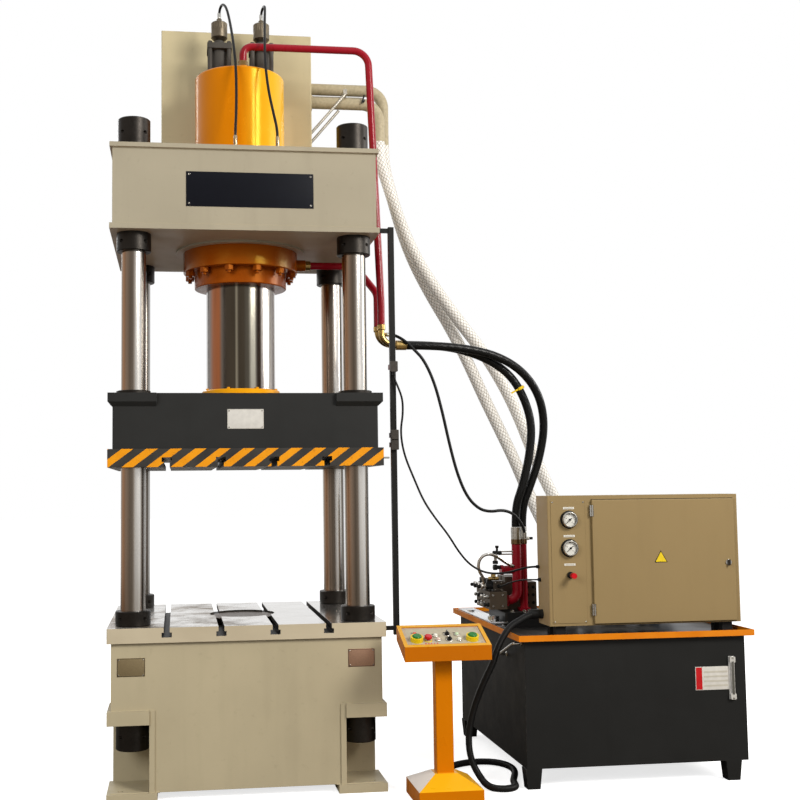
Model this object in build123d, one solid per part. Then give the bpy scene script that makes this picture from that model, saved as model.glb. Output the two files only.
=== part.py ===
"""Four-column hydraulic press with its power unit, electric cabinet and two-hand control stand.

The origin is on the floor under the ram. +X points to the power unit, +Y to the rear, +Z up.
All sizes are millimetres.
"""
from build123d import *
import math
import os

os.makedirs("parts", exist_ok=True)

# Bed and table
TABLE_W = 1500
TABLE_D = 1250
TABLE_TOP = 905
TABLE_T = 80
BED_INSET = 22
FOOT_T = 45
FOOT_LIP = 20
FOOT_REACH_X = 267
FOOT_REACH_Y = 307
LEDGE_BOTTOM = 398
LEDGE_T = 73
STRIP_T = 29
STRIP_PROUD = 8
RECESS_DEPTH = 270
RECESS_W = 202
ANCHOR_HOLE_R = 15
ANCHOR_FROM_EDGE = 70

# T-slots, the same in the table and in the slide
SLOT_COUNT = 4
SLOT_FROM_COLUMN = 114.5
SLOT_NECK_W = 32
SLOT_NECK_H = 28
SLOT_HEAD_W = 54
SLOT_HEAD_H = 24

# Columns and their round nuts
COLUMN_R = 67.5
COLUMN_FROM_SIDE = 133
COLUMN_FROM_FRONT = 145
COLUMN_CLEARANCE = 0.5
NUT_R = 90
NUT_EDGE = 4
TOP_NUT_H = 165
BOTTOM_NUT_H = 148
UPPER_COLLAR_R = 95
UPPER_COLLAR_H = 105
TABLE_COLLAR_H = 80
COLUMN_STUB = 12
SPANNER_HOLE_R = 9
SPANNER_HOLE_DEPTH = 18

# Crosshead
HEAD_INSET = 5
HEAD_BOTTOM = 3056
HEAD_H = 479
HEAD_TOP_PLATE = 25
HEAD_BOTTOM_PLATE = 30
HEAD_LIP = 15
HEAD_BOSS_R = 385
HEAD_BOSS_T = 12

# Main cylinder
CYL_R = 270
CYL_BORE_R = 220
CYL_TOP = 4125
CYL_CAP_T = 60
SHOULDER_R = 342
SHOULDER_H = 119
SHOULDER_BOLT_COUNT = 12
SHOULDER_BOLT_PCD = 624
SHOULDER_BOLT_AF = 46
SHOULDER_BOLT_HEAD_H = 30
GLAND_R = 275
GLAND_H = 95
GLAND_SPIGOT = 60
PORT_X = 393
PORT_Z = 2985
PORT_R = 34
PORT_BORE_R = 12
HEAD_PORT_X = 13
HEAD_PORT_Y = -150
HEAD_PORT_R = 40
HEAD_PORT_H = 30
HEAD_NUT_H = 35
PORT_NUT_L = 30

# Ram
RAM_R = 205
RAM_TOP = 3600
PISTON_H = 70
RUNNING_GAP = 0.5
RAM_FLANGE_R = 232
RAM_FLANGE_H = 59
RAM_BOLT_COUNT = 8
RAM_BOLT_R = 9
RAM_BOLT_HEAD_H = 8

# Slide
SLIDE_BOTTOM = 1757
SLIDE_PLATE_T = 99
SLIDE_TOP = 2159
SLIDE_INSET = 25
SLIDE_EDGE_R = 8
GUARD_H = 72
GUARD_CHAMFER = 24
GUARD_REACH_X = 260
GUARD_REACH_Y = 275
BUSH_R = 85
BUSH_FLANGE_R = 94
BUSH_FLANGE_H = 20
BUSH_GAP = 0.4
STRIKER_Z = 1806
STRIKER_Y = -350

# Ejector under the table
EJECTOR_HOLE_R = 190
EJECTOR_GAP = 2.5
EJECTOR_PLATE_T = 40
EJECTOR_BELOW_TABLE = 10
EJECTOR_ROD_R = 50
EJECTOR_PISTON_R = 69.5
EJECTOR_PISTON_H = 50
EJECTOR_ROD_BOTTOM = 300
WELL_R = 200
WELL_LOWER_R = 150
WELL_LEDGE_Z = 600
BARREL_R = 110
BARREL_BORE_R = 70
BARREL_BOTTOM = 190
BARREL_TOP = 660
BARREL_FLANGE_H = 40
BARREL_WALL_END = 30

# Fill tank on the crosshead
FILL_NUT_GAP = 50
FILL_CYL_GAP = 22
FILL_D = 330
FILL_TOP = 4540
FILL_WALL = 6
FILL_EDGE_R = 6
BREATHER_R = 32
BREATHER_H = 80
SUCTION_R = 55
SUCTION_Z = 4235
SUCTION_FLANGE_R = 70
SUCTION_FLANGE_T = 16

# Prefill valves on the cylinder head
VALVE_X = (-120, 140)
VALVE_Y = 80
VALVE_W = 150
VALVE_BASE_T = 40
VALVE_BODY_R = 50
VALVE_TOP_Z = 4365
VALVE_TOP_T = 35
TIE_R = 13
TIE_OFFSET = 58
PILOT_NECK_R = 30
PILOT_NECK_H = 32
PILOT_HEAD_R = 50
PILOT_CONE_H = 22
PILOT_HEAD_H = 96
PILOT_GROOVE_COUNT = 24
PILOT_FITTING_R = 14
PILOT_FITTING_H = 26

# Pipes between the tanks, the cylinder and the hoses
RETURN_R = 37.5
RETURN_WALL = 4
RETURN_BEND_R = 110
RETURN_END_Z = 3890
RETURN_UPPER = (974, 480, 4259)
RETURN_LOWER = (933, 400, 4140)
RETURN_FLANGE_T = 14
PRESSURE_R = 22
PRESSURE_WALL = 4
PRESSURE_TOP_Z = 4283
PIPE_FROM_HEAD = 27
PIPE_END_Z = 2600
FIRST_PIPE_OUT = 72
FIRST_PIPE_Y = -200
FIRST_KNEE_Z = 2740
PRESSURE_BENDS = (55, 95, 900)
SECOND_TURN_IN = 50
SECOND_PIPE_OUT = 65
SECOND_PIPE_Y = -110
SECOND_KNEE_Z = 2800
SECOND_BENDS = (90, 90)
ELBOW_R = 18
ELBOW_REACH = (150, 173)
PILOT_STUB_L = 30
ELBOW_BEND_R = 80
ELBOW_NUT_R = 24
ELBOW_NUT_H = 34
FERRULE_R = 28
FERRULE_H = 66
STAY_R = 9
STAYS = (((0, 352, 3920), (227, 352, 4186)), ((0, 400, 3868), (191, 400, 4094)))
STAY_BAR_W = 24
TIE_ROD_R = 5
TIE_ROD_END = 830
STUB_PLACES = ((2306, 500), (2146, 490))
STUB_TOP = 1010
PREFILL_ENDS = ((-48, -414), (194, -414))
BULKHEAD_H = 90
BULKHEAD_AF = 30

# Limit-switch rail
RAIL_FROM_TABLE = 108
RAIL_W = 32
RAIL_TOP = 3150
RAIL_BOTTOM = 800
SWITCH_HEIGHTS = (2330, 1935, 1880)
SWITCH_W = 44
SWITCH_H = 60

# Power unit
TRAY_X0 = 1452
TRAY_W = 1351
TRAY_Y0 = -763
TRAY_D = 1500
TRAY_TOP = 826
TRAY_H = 33
TRAY_WALL = 5
TRAY_FLOOR_T = 6
TANK_INSET = 41
TANK_BOTTOM = 108
TANK_WALL = 6
LEG_W = 78
LEG_INSET = 46
GAUGE_X = 2678
GAUGE_Z = (443, 678)
GAUGE_W = 32
GAUGE_T = 22
GLASS_R = 6
COVER_X = (1464, 1546)
COVER_Y = (-190, 620)
COVER_T = 14

# Valve block and riser pipes
PLINTH_X = (1550, 1818)
PLINTH_Y = (-175, 200)
PLINTH_H = 87
BLOCK_X = (1556, 1800)
BLOCK_Y = (0, 190)
BLOCK_TOP = 1050
SIDE_BLOCK_X = (1462, 1556)
SIDE_BLOCK_Y = (-160, 150)
SIDE_BLOCK_Z = (905, 1008)
CARTRIDGE_W = 90
CARTRIDGE_H = 34
CARTRIDGE_X = 1650
RISERS = ((1645, -106), (1701, -56))
RISER_RADII = (28, 24)
RISER_TOP = 1285
RISER_BEND_Z = 954
RISER_BEND_R = 55
RISER_FLANGE = 64
RISER_FLANGE_T = 18
RISER_FERRULE_H = 105
TEE_Z = 1134
TEE_R = 25
TEE_X = 1544
PILOT_PORT = (1697, -116, 1300)
PILOT_PORT_H = 18
SOLENOID_PITCH = 74
SOLENOID_Y = -100
SOLENOID_H = 62

# Motor and pump
MOTOR_R = 150
MOTOR_X = (2270, 2690)
MOTOR_Y = 120
MOTOR_Z = 1010
FIN_COUNT = 36
FIN_H = 12
FAN_COWL_L = 90
BELL_L = 110
PUMP_R = 90
PUMP_L = 190

# Electric cabinet
CAB_X = (1665, 2785)
CAB_Y = (-650, -450)
CAB_Z = (858, 1578)
CAB_WALL = 3
CAB_EDGE_R = 5
DOOR_X = (1918, 2755)
DOOR_Z = (868, 1553)
DOOR_T = 18
DOOR_SHEET = 2
DOOR_GAP = 2
OPENING_LIP = 22
HINGE_Z = (945, 1493)
HINGE_X = 1920
HINGE_Y = -664
HINGE_R = 7
HINGE_L = 62
HINGE_GAP = 0.3
LOCK_X = 2713
LOCK_Z = 1193
LOCK_R = 13
PANEL_X = (1684, 1881)
PANEL_Z = (873, 1551)
PANEL_T = 3
DIAL_X = 1787
DIAL_Z = (1445, 1287)
DIAL_R = 44
DIAL_DEPTH = 30
NEEDLE_DEPTH = 20
PIVOT_R = 2.5
KNOB_Z = 1138
KNOB_R = 19

# Mounting plate in the cabinet: sizes across, in depth and up; places from the door's lower left
BACKPLATE_INSET = (40, 50)
BACKPLATE_T = 3
SPACER_L = 15
SPACER_R = 8
SPACER_INSET = (70, 90)
CONTACTOR_COUNT = 4
CONTACTOR_PITCH = 130
CONTACTOR_SIZE = (90, 85, 100)
CONTACTOR_PLACE = (110, 502)
RELAY_COUNT = 7
RELAY_PITCH = 85
RELAY_SIZE = (60, 70, 80)
RELAY_PLACE = (100, 322)
TERMINAL_SIZE = (40, 50)
TERMINAL_PLACE = (100, 122)
DUCT_SIZE = (60, 40)
DUCT_INSET = 80
DUCT_HEIGHTS = (242, 442)

# Control stand
STAND_X = 1014
STAND_Y = -812
BASE_W = 340
BASE_D = 346
BASE_SKIRT = 80
BASE_SLOPE_H = 62
POST_W = 92
POST_D = 76
CONSOLE_W = 461
CONSOLE_Y = (-965, -740)
CONSOLE_FRONT_Z = (735, 812)
CONSOLE_SLOPE = 85
CONSOLE_SHEET = 3
PANEL_BORDER = 21
PANEL_L = 192
PANEL_RECESS = 8
PANEL_PLATE_T = 3
BUTTON_R = 24
SHROUD_R = 34
SHROUD_H = 24
BUTTON_H = 20
BUTTON_LIFT = 12
STOP_R = 20
STOP_LIFT = 16
STEM_R = 8
STEM_GAP = 0.3
STEM_DEPTH = 10
SELECTOR_R = 13

# Places on the sloped panel, across from its middle and up its slope
LAMPS = [(-152, 14), (-44, -5), (-38, -48), (73, 4), (74, -52)]
SELECTORS = [(21, 8), (22, -48)]
STOP_PLACE = (-92, -46)
TWO_HAND = [(-152, -44), (146, -43)]

# Cords, as outer diameters
HOSE_D = 50
RETURN_HOSE_D = 78
PILOT_HOSE_D = 18
PREFILL_HOSE_D = 16
SENSOR_D = 12
CONDUIT_D = 38


# Values that follow from the sizes above
BED_TOP = TABLE_TOP - TABLE_T
BED_W = TABLE_W - 2 * BED_INSET
BED_D = TABLE_D - 2 * BED_INSET
LEDGE_TOP = LEDGE_BOTTOM + LEDGE_T
FOOT_INNER_X = TABLE_W / 2 - FOOT_REACH_X
FOOT_INNER_Y = TABLE_D / 2 - FOOT_REACH_Y
COLUMN_X = TABLE_W / 2 - COLUMN_FROM_SIDE
COLUMN_Y = TABLE_D / 2 - COLUMN_FROM_FRONT
SLOT_PITCH = 2 * (COLUMN_X - COLUMN_R - SLOT_FROM_COLUMN) / (SLOT_COUNT - 1)
HEAD_W = TABLE_W - 2 * HEAD_INSET
HEAD_D = TABLE_D
HEAD_TOP = HEAD_BOTTOM + HEAD_H
RECESS_X = BED_W / 2 - RECESS_W
RECESS_Y = BED_D / 2 - RECESS_DEPTH
CYL_SEAT = HEAD_BOTTOM - HEAD_BOSS_T
CYL_FOOT = CYL_SEAT - SHOULDER_H
GLAND_BOTTOM = CYL_FOOT - GLAND_H
SLIDE_PLATE_TOP = SLIDE_BOTTOM + SLIDE_PLATE_T
SLIDE_W = TABLE_W - 2 * SLIDE_INSET
SLIDE_D = TABLE_D - 2 * SLIDE_INSET
GUARD_INNER_X = TABLE_W / 2 - GUARD_REACH_X
GUARD_INNER_Y = TABLE_D / 2 - GUARD_REACH_Y
RAIL_X = TABLE_W / 2 + RAIL_FROM_TABLE
TRAY_FLOOR = TRAY_TOP - TRAY_H
TRAY_DECK = TRAY_FLOOR + TRAY_FLOOR_T
TRAY_X1 = TRAY_X0 + TRAY_W
TRAY_Y1 = TRAY_Y0 + TRAY_D
TANK_X0 = TRAY_X0 + TANK_INSET
TANK_X1 = TRAY_X1 - TANK_INSET
TANK_Y0 = TRAY_Y0 + TANK_INSET
TANK_Y1 = TRAY_Y1 - TANK_INSET
FILL_W = 2 * (COLUMN_X - NUT_R - FILL_NUT_GAP)
FILL_Y0 = CYL_R + FILL_CYL_GAP
FILL_Y1 = FILL_Y0 + FILL_D
PRESSURE_SIDE_X = HEAD_W / 2 + PIPE_FROM_HEAD
PRESSURE_KNEE = (TABLE_W / 2 + FIRST_PIPE_OUT, FIRST_PIPE_Y, FIRST_KNEE_Z)
PRESSURE_END = (PRESSURE_KNEE[0], FIRST_PIPE_Y, PIPE_END_Z)
SECOND_TURN_X = TABLE_W / 2 - SECOND_TURN_IN
SECOND_KNEE = (TABLE_W / 2 + SECOND_PIPE_OUT, SECOND_PIPE_Y, SECOND_KNEE_Z)
SECOND_END = (SECOND_KNEE[0], SECOND_PIPE_Y, PIPE_END_Z)
TILT = math.degrees(math.atan2(CONSOLE_SLOPE, CONSOLE_Y[1] - CONSOLE_Y[0]))
PANEL_W = CONSOLE_W - 2 * PANEL_BORDER
PANEL_FACE = -PANEL_RECESS + PANEL_PLATE_T


def block(x, y, z):
    """A box from pairs of lower and upper limits."""
    centre = Pos((x[0] + x[1]) / 2, (y[0] + y[1]) / 2, (z[0] + z[1]) / 2)
    return centre * Box(x[1] - x[0], y[1] - y[0], z[1] - z[0])


def disc(radius, z0, z1, x=0, y=0):
    """An upright cylinder between two heights."""
    return Pos(x, y, (z0 + z1) / 2) * Cylinder(radius, z1 - z0)


def bar_x(radius, x0, x1, y, z):
    return Pos((x0 + x1) / 2, y, z) * Rot(0, 90, 0) * Cylinder(radius, x1 - x0)


def bar_y(radius, y0, y1, x, z):
    return Pos(x, (y0 + y1) / 2, z) * Rot(90, 0, 0) * Cylinder(radius, y1 - y0)


def ring(outer, inner, z0, z1, x=0, y=0):
    return disc(outer, z0, z1, x, y) - disc(inner, z0 - 1, z1 + 1, x, y)


def hex_prism(across_flats, z0, z1, x=0, y=0, turn=0):
    outline = RegularPolygon(across_flats / 2, 6, major_radius=False, rotation=turn)
    return Pos(x, y, z0) * extrude(outline, amount=z1 - z0)


def around(count, pcd, start=0):
    """Points on a bolt circle."""
    for i in range(count):
        angle = math.radians(start + 360 * i / count)
        yield pcd / 2 * math.cos(angle), pcd / 2 * math.sin(angle)


def four_corners(x, y):
    return [(-x, -y), (x, -y), (x, y), (-x, y)]


def centred(values):
    """Evenly spaced places about zero."""
    count, pitch = values
    return [(i - (count - 1) / 2) * pitch for i in range(count)]


def tube(points, radii, radius, wall):
    """A bent pipe with an open bore."""
    path = FilletPolyline(*points, radius=radii)
    section = Plane(path @ 0, z_dir=path % 0) * (Circle(radius) - Circle(radius - wall))
    return sweep(section, path=path)


def group(pieces):
    """Separate like solids that share one node."""
    return Compound(children=[solid for piece in pieces for solid in piece.solids()])


def save(shape, name):
    export_step(shape, f"parts/{name}.step")


def t_slots(face_z, direction, depth):
    """T-slots along Y, cut into a face: direction is -1 downwards and 1 upwards."""
    cuts = []
    neck = sorted((face_z - direction, face_z + direction * SLOT_NECK_H))
    far = face_z + direction * (SLOT_NECK_H + SLOT_HEAD_H)
    head = sorted((face_z + direction * (SLOT_NECK_H - 1), far))
    for x in centred((SLOT_COUNT, SLOT_PITCH)):
        cuts.append(block((x - SLOT_NECK_W / 2, x + SLOT_NECK_W / 2), (-depth, depth), neck))
        cuts.append(block((x - SLOT_HEAD_W / 2, x + SLOT_HEAD_W / 2), (-depth, depth), head))
    return cuts


def column_holes(z0, z1, radius):
    return [disc(radius, z0, z1, x, y) for x, y in four_corners(COLUMN_X, COLUMN_Y)]


def bed():
    """The welded bed: a box with four open corners, each with a ledge, a strip and a foot."""
    body = block((-BED_W / 2, BED_W / 2), (-BED_D / 2, BED_D / 2), (FOOT_T, BED_TOP))
    lip_x = BED_W / 2 + FOOT_LIP
    lip_y = BED_D / 2 + FOOT_LIP
    for sx, sy in four_corners(1, 1):
        body -= block(sorted((sx * RECESS_X, sx * BED_W)), sorted((sy * RECESS_Y, sy * BED_D)),
                      (0, LEDGE_BOTTOM))
    for sx, sy in four_corners(1, 1):
        body += block(sorted((sx * RECESS_X, sx * lip_x)), sorted((sy * RECESS_Y, sy * lip_y)),
                      (LEDGE_BOTTOM, LEDGE_TOP))
        body += block(sorted((sx * (RECESS_X - STRIP_T), sx * RECESS_X)),
                      sorted((sy * RECESS_Y, sy * (BED_D / 2 + STRIP_PROUD))), (FOOT_T, LEDGE_TOP))
        foot = block(sorted((sx * FOOT_INNER_X, sx * lip_x)), sorted((sy * FOOT_INNER_Y, sy * lip_y)),
                     (0, FOOT_T))
        foot -= disc(ANCHOR_HOLE_R, -1, FOOT_T + 1, sx * (lip_x - ANCHOR_FROM_EDGE),
                     sy * (lip_y - ANCHOR_FROM_EDGE))
        body += foot
    for hole in column_holes(LEDGE_BOTTOM - 1, BED_TOP + 1, COLUMN_R + COLUMN_CLEARANCE):
        body -= hole
    body -= disc(WELL_R, WELL_LEDGE_Z, BED_TOP + 1)
    body -= disc(WELL_LOWER_R, 0, WELL_LEDGE_Z + 1)
    return body


def table_plate():
    plate = block((-TABLE_W / 2, TABLE_W / 2), (-TABLE_D / 2, TABLE_D / 2), (BED_TOP, TABLE_TOP))
    plate = chamfer(plate.edges().filter_by(Axis.Z), 3)
    for cut in t_slots(TABLE_TOP, -1, TABLE_D):
        plate -= cut
    for hole in column_holes(BED_TOP - 1, TABLE_TOP + 1, COLUMN_R + COLUMN_CLEARANCE):
        plate -= hole
    return plate - disc(EJECTOR_HOLE_R, BED_TOP - 1, TABLE_TOP + 1)


def columns():
    low = LEDGE_BOTTOM - BOTTOM_NUT_H + COLUMN_STUB
    high = HEAD_TOP + TOP_NUT_H - COLUMN_STUB
    return group([chamfer(disc(COLUMN_R, low, high, x, y).edges(), 5)
                  for x, y in four_corners(COLUMN_X, COLUMN_Y)])


def round_nut(radius, z0, z1, x, y):
    """A round nut with edges broken and four holes for a hook spanner."""
    nut = chamfer(disc(radius, z0, z1, x, y).edges(), NUT_EDGE)
    nut -= disc(COLUMN_R, z0 - 1, z1 + 1, x, y)
    for hx, hy in around(4, 2 * radius, 45):
        hole = Cylinder(SPANNER_HOLE_R, 2 * SPANNER_HOLE_DEPTH)
        turned = Rot(0, 90, math.degrees(math.atan2(hy, hx))) * hole
        nut -= Pos(x + hx, y + hy, (z0 + z1) / 2) * turned
    return nut


def column_nuts():
    nuts = []
    for x, y in four_corners(COLUMN_X, COLUMN_Y):
        nuts.append(round_nut(NUT_R, HEAD_TOP, HEAD_TOP + TOP_NUT_H, x, y))
        nuts.append(round_nut(UPPER_COLLAR_R, HEAD_BOTTOM - UPPER_COLLAR_H, HEAD_BOTTOM, x, y))
        nuts.append(round_nut(UPPER_COLLAR_R, TABLE_TOP, TABLE_TOP + TABLE_COLLAR_H, x, y))
        nuts.append(round_nut(NUT_R, LEDGE_BOTTOM - BOTTOM_NUT_H, LEDGE_BOTTOM, x, y))
    return group(nuts)


def crosshead():
    """The welded crosshead: a box between two plates that stand out all round."""
    inner = (HEAD_W / 2 - HEAD_LIP, HEAD_D / 2 - HEAD_LIP)
    body = block((-inner[0], inner[0]), (-inner[1], inner[1]), (HEAD_BOTTOM, HEAD_TOP))
    for z in ((HEAD_BOTTOM, HEAD_BOTTOM + HEAD_BOTTOM_PLATE), (HEAD_TOP - HEAD_TOP_PLATE, HEAD_TOP)):
        body += block((-HEAD_W / 2, HEAD_W / 2), (-HEAD_D / 2, HEAD_D / 2), z)
    body += disc(HEAD_BOSS_R, CYL_SEAT, HEAD_BOTTOM)
    for hole in column_holes(CYL_SEAT - 1, HEAD_TOP + 1, COLUMN_R + COLUMN_CLEARANCE):
        body -= hole
    for x, y in around(SHOULDER_BOLT_COUNT, SHOULDER_BOLT_PCD, 15):
        body -= disc(SHOULDER_BOLT_AF / 4, CYL_SEAT - 1, CYL_SEAT + 60, x, y)
    return body - disc(CYL_R + COLUMN_CLEARANCE, CYL_SEAT - 1, HEAD_TOP + 1)


def cylinder_barrel():
    """The barrel with its closed head, the shoulder under the crosshead and both ports."""
    body = disc(CYL_R, CYL_SEAT, CYL_TOP)
    body = fillet(body.edges().group_by(Axis.Z)[-1], 14)
    shoulder = disc(SHOULDER_R, CYL_FOOT, CYL_SEAT)
    body += fillet(shoulder.edges().group_by(Axis.Z)[0], 6)
    body += bar_x(PORT_R, SHOULDER_R - 20, PORT_X, 0, PORT_Z)
    body += disc(HEAD_PORT_R, CYL_TOP - 1, CYL_TOP + HEAD_PORT_H, HEAD_PORT_X, HEAD_PORT_Y)
    body -= disc(CYL_BORE_R, CYL_FOOT - 1, CYL_TOP - CYL_CAP_T)
    body -= bar_x(PORT_BORE_R, CYL_BORE_R - 5, PORT_X + 1, 0, PORT_Z)
    body -= disc(PORT_BORE_R, CYL_TOP - CYL_CAP_T - 1, CYL_TOP + HEAD_PORT_H + 1,
                 HEAD_PORT_X, HEAD_PORT_Y)
    for x in VALVE_X:
        body -= disc(VALVE_BODY_R - 10, CYL_TOP - CYL_CAP_T - 1, CYL_TOP + 1, x, VALVE_Y)
    for x, y in around(SHOULDER_BOLT_COUNT, SHOULDER_BOLT_PCD, 15):
        body -= disc(SHOULDER_BOLT_AF / 4, CYL_FOOT - 1, CYL_SEAT + 1, x, y)
    return body


def cylinder_gland():
    """The gland: a ring under the barrel with a spigot that guides the ram."""
    body = disc(GLAND_R, GLAND_BOTTOM, CYL_FOOT)
    body = fillet(body.edges().group_by(Axis.Z)[0], 6)
    body += disc(CYL_BORE_R, CYL_FOOT - 1, CYL_FOOT + GLAND_SPIGOT - 25)
    return body - disc(RAM_R + RUNNING_GAP, GLAND_BOTTOM - 1, CYL_SEAT)


def shoulder_bolts():
    bolts = []
    for x, y in around(SHOULDER_BOLT_COUNT, SHOULDER_BOLT_PCD, 15):
        head = hex_prism(SHOULDER_BOLT_AF, CYL_FOOT - SHOULDER_BOLT_HEAD_H, CYL_FOOT, x, y, 15)
        stud = disc(SHOULDER_BOLT_AF / 4, CYL_FOOT - SHOULDER_BOLT_HEAD_H - 14, CYL_SEAT + 58, x, y)
        bolts.append(head + stud)
    return group(bolts)


def ram():
    """The ram with its piston head, which runs in the barrel."""
    body = disc(RAM_R, SLIDE_TOP, RAM_TOP - PISTON_H)
    head = disc(CYL_BORE_R - RUNNING_GAP, RAM_TOP - PISTON_H, RAM_TOP)
    for z in (RAM_TOP - PISTON_H * 0.7, RAM_TOP - PISTON_H * 0.35):
        head -= ring(CYL_BORE_R + 1, CYL_BORE_R - 6, z - 5, z + 5)
    return body + chamfer(head.edges().group_by(Axis.Z)[-1], 4)


def ram_flange():
    """The flange that bolts the ram to the slide, with its bolt heads."""
    body = ring(RAM_FLANGE_R, RAM_R, SLIDE_TOP, SLIDE_TOP + RAM_FLANGE_H)
    rim = body.edges().filter_by(GeomType.CIRCLE).group_by(Axis.Z)[-1].sort_by(SortBy.RADIUS)[-1]
    body = chamfer(rim, 6)
    top = SLIDE_TOP + RAM_FLANGE_H
    for x, y in around(RAM_BOLT_COUNT, RAM_FLANGE_R + RAM_R, 22.5):
        body += disc(RAM_BOLT_R, top - 1, top + RAM_BOLT_HEAD_H, x, y)
    return body


def slide():
    """The slide body with a guard block round each column."""
    body = block((-SLIDE_W / 2, SLIDE_W / 2), (-SLIDE_D / 2, SLIDE_D / 2), (SLIDE_PLATE_TOP, SLIDE_TOP))
    body = fillet(body.edges().filter_by(Axis.Z), SLIDE_EDGE_R)
    low = SLIDE_TOP - GUARD_H
    for sx, sy in four_corners(1, 1):
        guard = block(sorted((sx * GUARD_INNER_X, sx * TABLE_W / 2)),
                      sorted((sy * GUARD_INNER_Y, sy * TABLE_D / 2)), (low, SLIDE_TOP))
        under = guard.faces().sort_by(Axis.Z)[0].edges()
        outer = under.sort_by(lambda edge: abs(edge.center().X))[-1:]
        outer += under.sort_by(lambda edge: abs(edge.center().Y))[-1:]
        body += chamfer(outer, GUARD_CHAMFER)
    for hole in column_holes(SLIDE_PLATE_TOP - 1, SLIDE_TOP + 1, BUSH_R):
        body -= hole
    return body


def slide_plate():
    """The bolster under the slide, with T-slots that open downwards."""
    plate = block((-TABLE_W / 2, TABLE_W / 2), (-TABLE_D / 2, TABLE_D / 2),
                  (SLIDE_BOTTOM, SLIDE_PLATE_TOP))
    for cut in t_slots(SLIDE_BOTTOM, 1, TABLE_D):
        plate -= cut
    for hole in column_holes(SLIDE_BOTTOM - 1, SLIDE_PLATE_TOP + 1, COLUMN_R + 8):
        plate -= hole
    return plate


def guide_bushes():
    bushes = []
    for x, y in four_corners(COLUMN_X, COLUMN_Y):
        bush = disc(BUSH_R, SLIDE_PLATE_TOP, SLIDE_TOP, x, y)
        flange = disc(BUSH_FLANGE_R, SLIDE_TOP, SLIDE_TOP + BUSH_FLANGE_H, x, y)
        bush += chamfer(flange.edges().group_by(Axis.Z)[-1], 3)
        bushes.append(bush - disc(COLUMN_R + BUSH_GAP, SLIDE_PLATE_TOP - 1, SLIDE_TOP + 50, x, y))
    return group(bushes)


def striker():
    """The arm on the slide that trips the limit switches."""
    x0 = TABLE_W / 2
    arm = block((x0, RAIL_X - RAIL_W / 2 - 12), (STRIKER_Y - 15, STRIKER_Y + 15),
                (STRIKER_Z - 5, STRIKER_Z + 5))
    foot = block((x0, x0 + 8), (STRIKER_Y - 30, STRIKER_Y + 30), (STRIKER_Z - 35, STRIKER_Z + 35))
    return arm + foot


def ejector():
    """The ejector plate with its rod and piston, turned as one."""
    top = TABLE_TOP - EJECTOR_BELOW_TABLE
    plate = disc(EJECTOR_HOLE_R - EJECTOR_GAP, top - EJECTOR_PLATE_T, top)
    plate = chamfer(plate.edges().group_by(Axis.Z)[-1], 3)
    body = plate + disc(EJECTOR_ROD_R, EJECTOR_ROD_BOTTOM, top - EJECTOR_PLATE_T + 1)
    return body + disc(EJECTOR_PISTON_R, EJECTOR_ROD_BOTTOM, EJECTOR_ROD_BOTTOM + EJECTOR_PISTON_H)


def ejector_barrel():
    """The ejector cylinder, whose flange sits on the ledge in the bed's well."""
    body = disc(BARREL_R, BARREL_BOTTOM, BARREL_TOP)
    body += disc(WELL_R - 1, WELL_LEDGE_Z, WELL_LEDGE_Z + BARREL_FLANGE_H)
    body -= disc(BARREL_BORE_R, BARREL_BOTTOM + BARREL_WALL_END, BARREL_TOP - BARREL_WALL_END)
    body -= disc(EJECTOR_ROD_R + RUNNING_GAP, BARREL_TOP - BARREL_WALL_END - 1, BARREL_TOP + 1)
    for x, y in around(8, BARREL_R + WELL_R + 20):
        body += hex_prism(30, WELL_LEDGE_Z + BARREL_FLANGE_H - 1, WELL_LEDGE_Z + BARREL_FLANGE_H + 18, x, y)
    return body


def fill_tank():
    """The closed fill tank behind the cylinder, with a breather on its lid."""
    outer = block((-FILL_W / 2, FILL_W / 2), (FILL_Y0, FILL_Y1), (HEAD_TOP, FILL_TOP))
    outer = fillet(outer.edges().filter_by(Axis.Z), FILL_EDGE_R)
    wall = FILL_WALL
    inner = block((-FILL_W / 2 + wall, FILL_W / 2 - wall), (FILL_Y0 + wall, FILL_Y1 - wall),
                  (HEAD_TOP + wall, FILL_TOP - wall))
    body = outer - inner
    x, y = FILL_W / 4, FILL_Y1 - 2 * BREATHER_R
    body += disc(BREATHER_R / 2, FILL_TOP - 1, FILL_TOP + BREATHER_H / 2, x, y)
    return body + disc(BREATHER_R, FILL_TOP + BREATHER_H / 2, FILL_TOP + BREATHER_H, x, y)


def prefill_valves():
    """Two prefill valves: a flanged body, four tie rods and a top plate each."""
    valves = []
    half = VALVE_W / 2
    for x in VALVE_X:
        base = block((x - half, x + half), (VALVE_Y - half, VALVE_Y + half),
                     (CYL_TOP, CYL_TOP + VALVE_BASE_T))
        top = block((x - half, x + half), (VALVE_Y - half, VALVE_Y + half),
                    (VALVE_TOP_Z - VALVE_TOP_T, VALVE_TOP_Z))
        body = base + chamfer(top.edges().filter_by(Axis.Z), 8)
        body += disc(VALVE_BODY_R, CYL_TOP, VALVE_TOP_Z, x, VALVE_Y)
        for tx, ty in four_corners(TIE_OFFSET, TIE_OFFSET):
            body += disc(TIE_R, CYL_TOP, VALVE_TOP_Z, x + tx, VALVE_Y + ty)
            body += hex_prism(24, VALVE_TOP_Z - 1, VALVE_TOP_Z + 12, x + tx, VALVE_Y + ty)
        body += bar_y(SUCTION_R, VALVE_Y, VALVE_Y + half, x, SUCTION_Z)
        valves.append(body + disc(PILOT_NECK_R, VALVE_TOP_Z - 1, VALVE_TOP_Z + PILOT_NECK_H, x, VALVE_Y))
    return group(valves)


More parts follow.
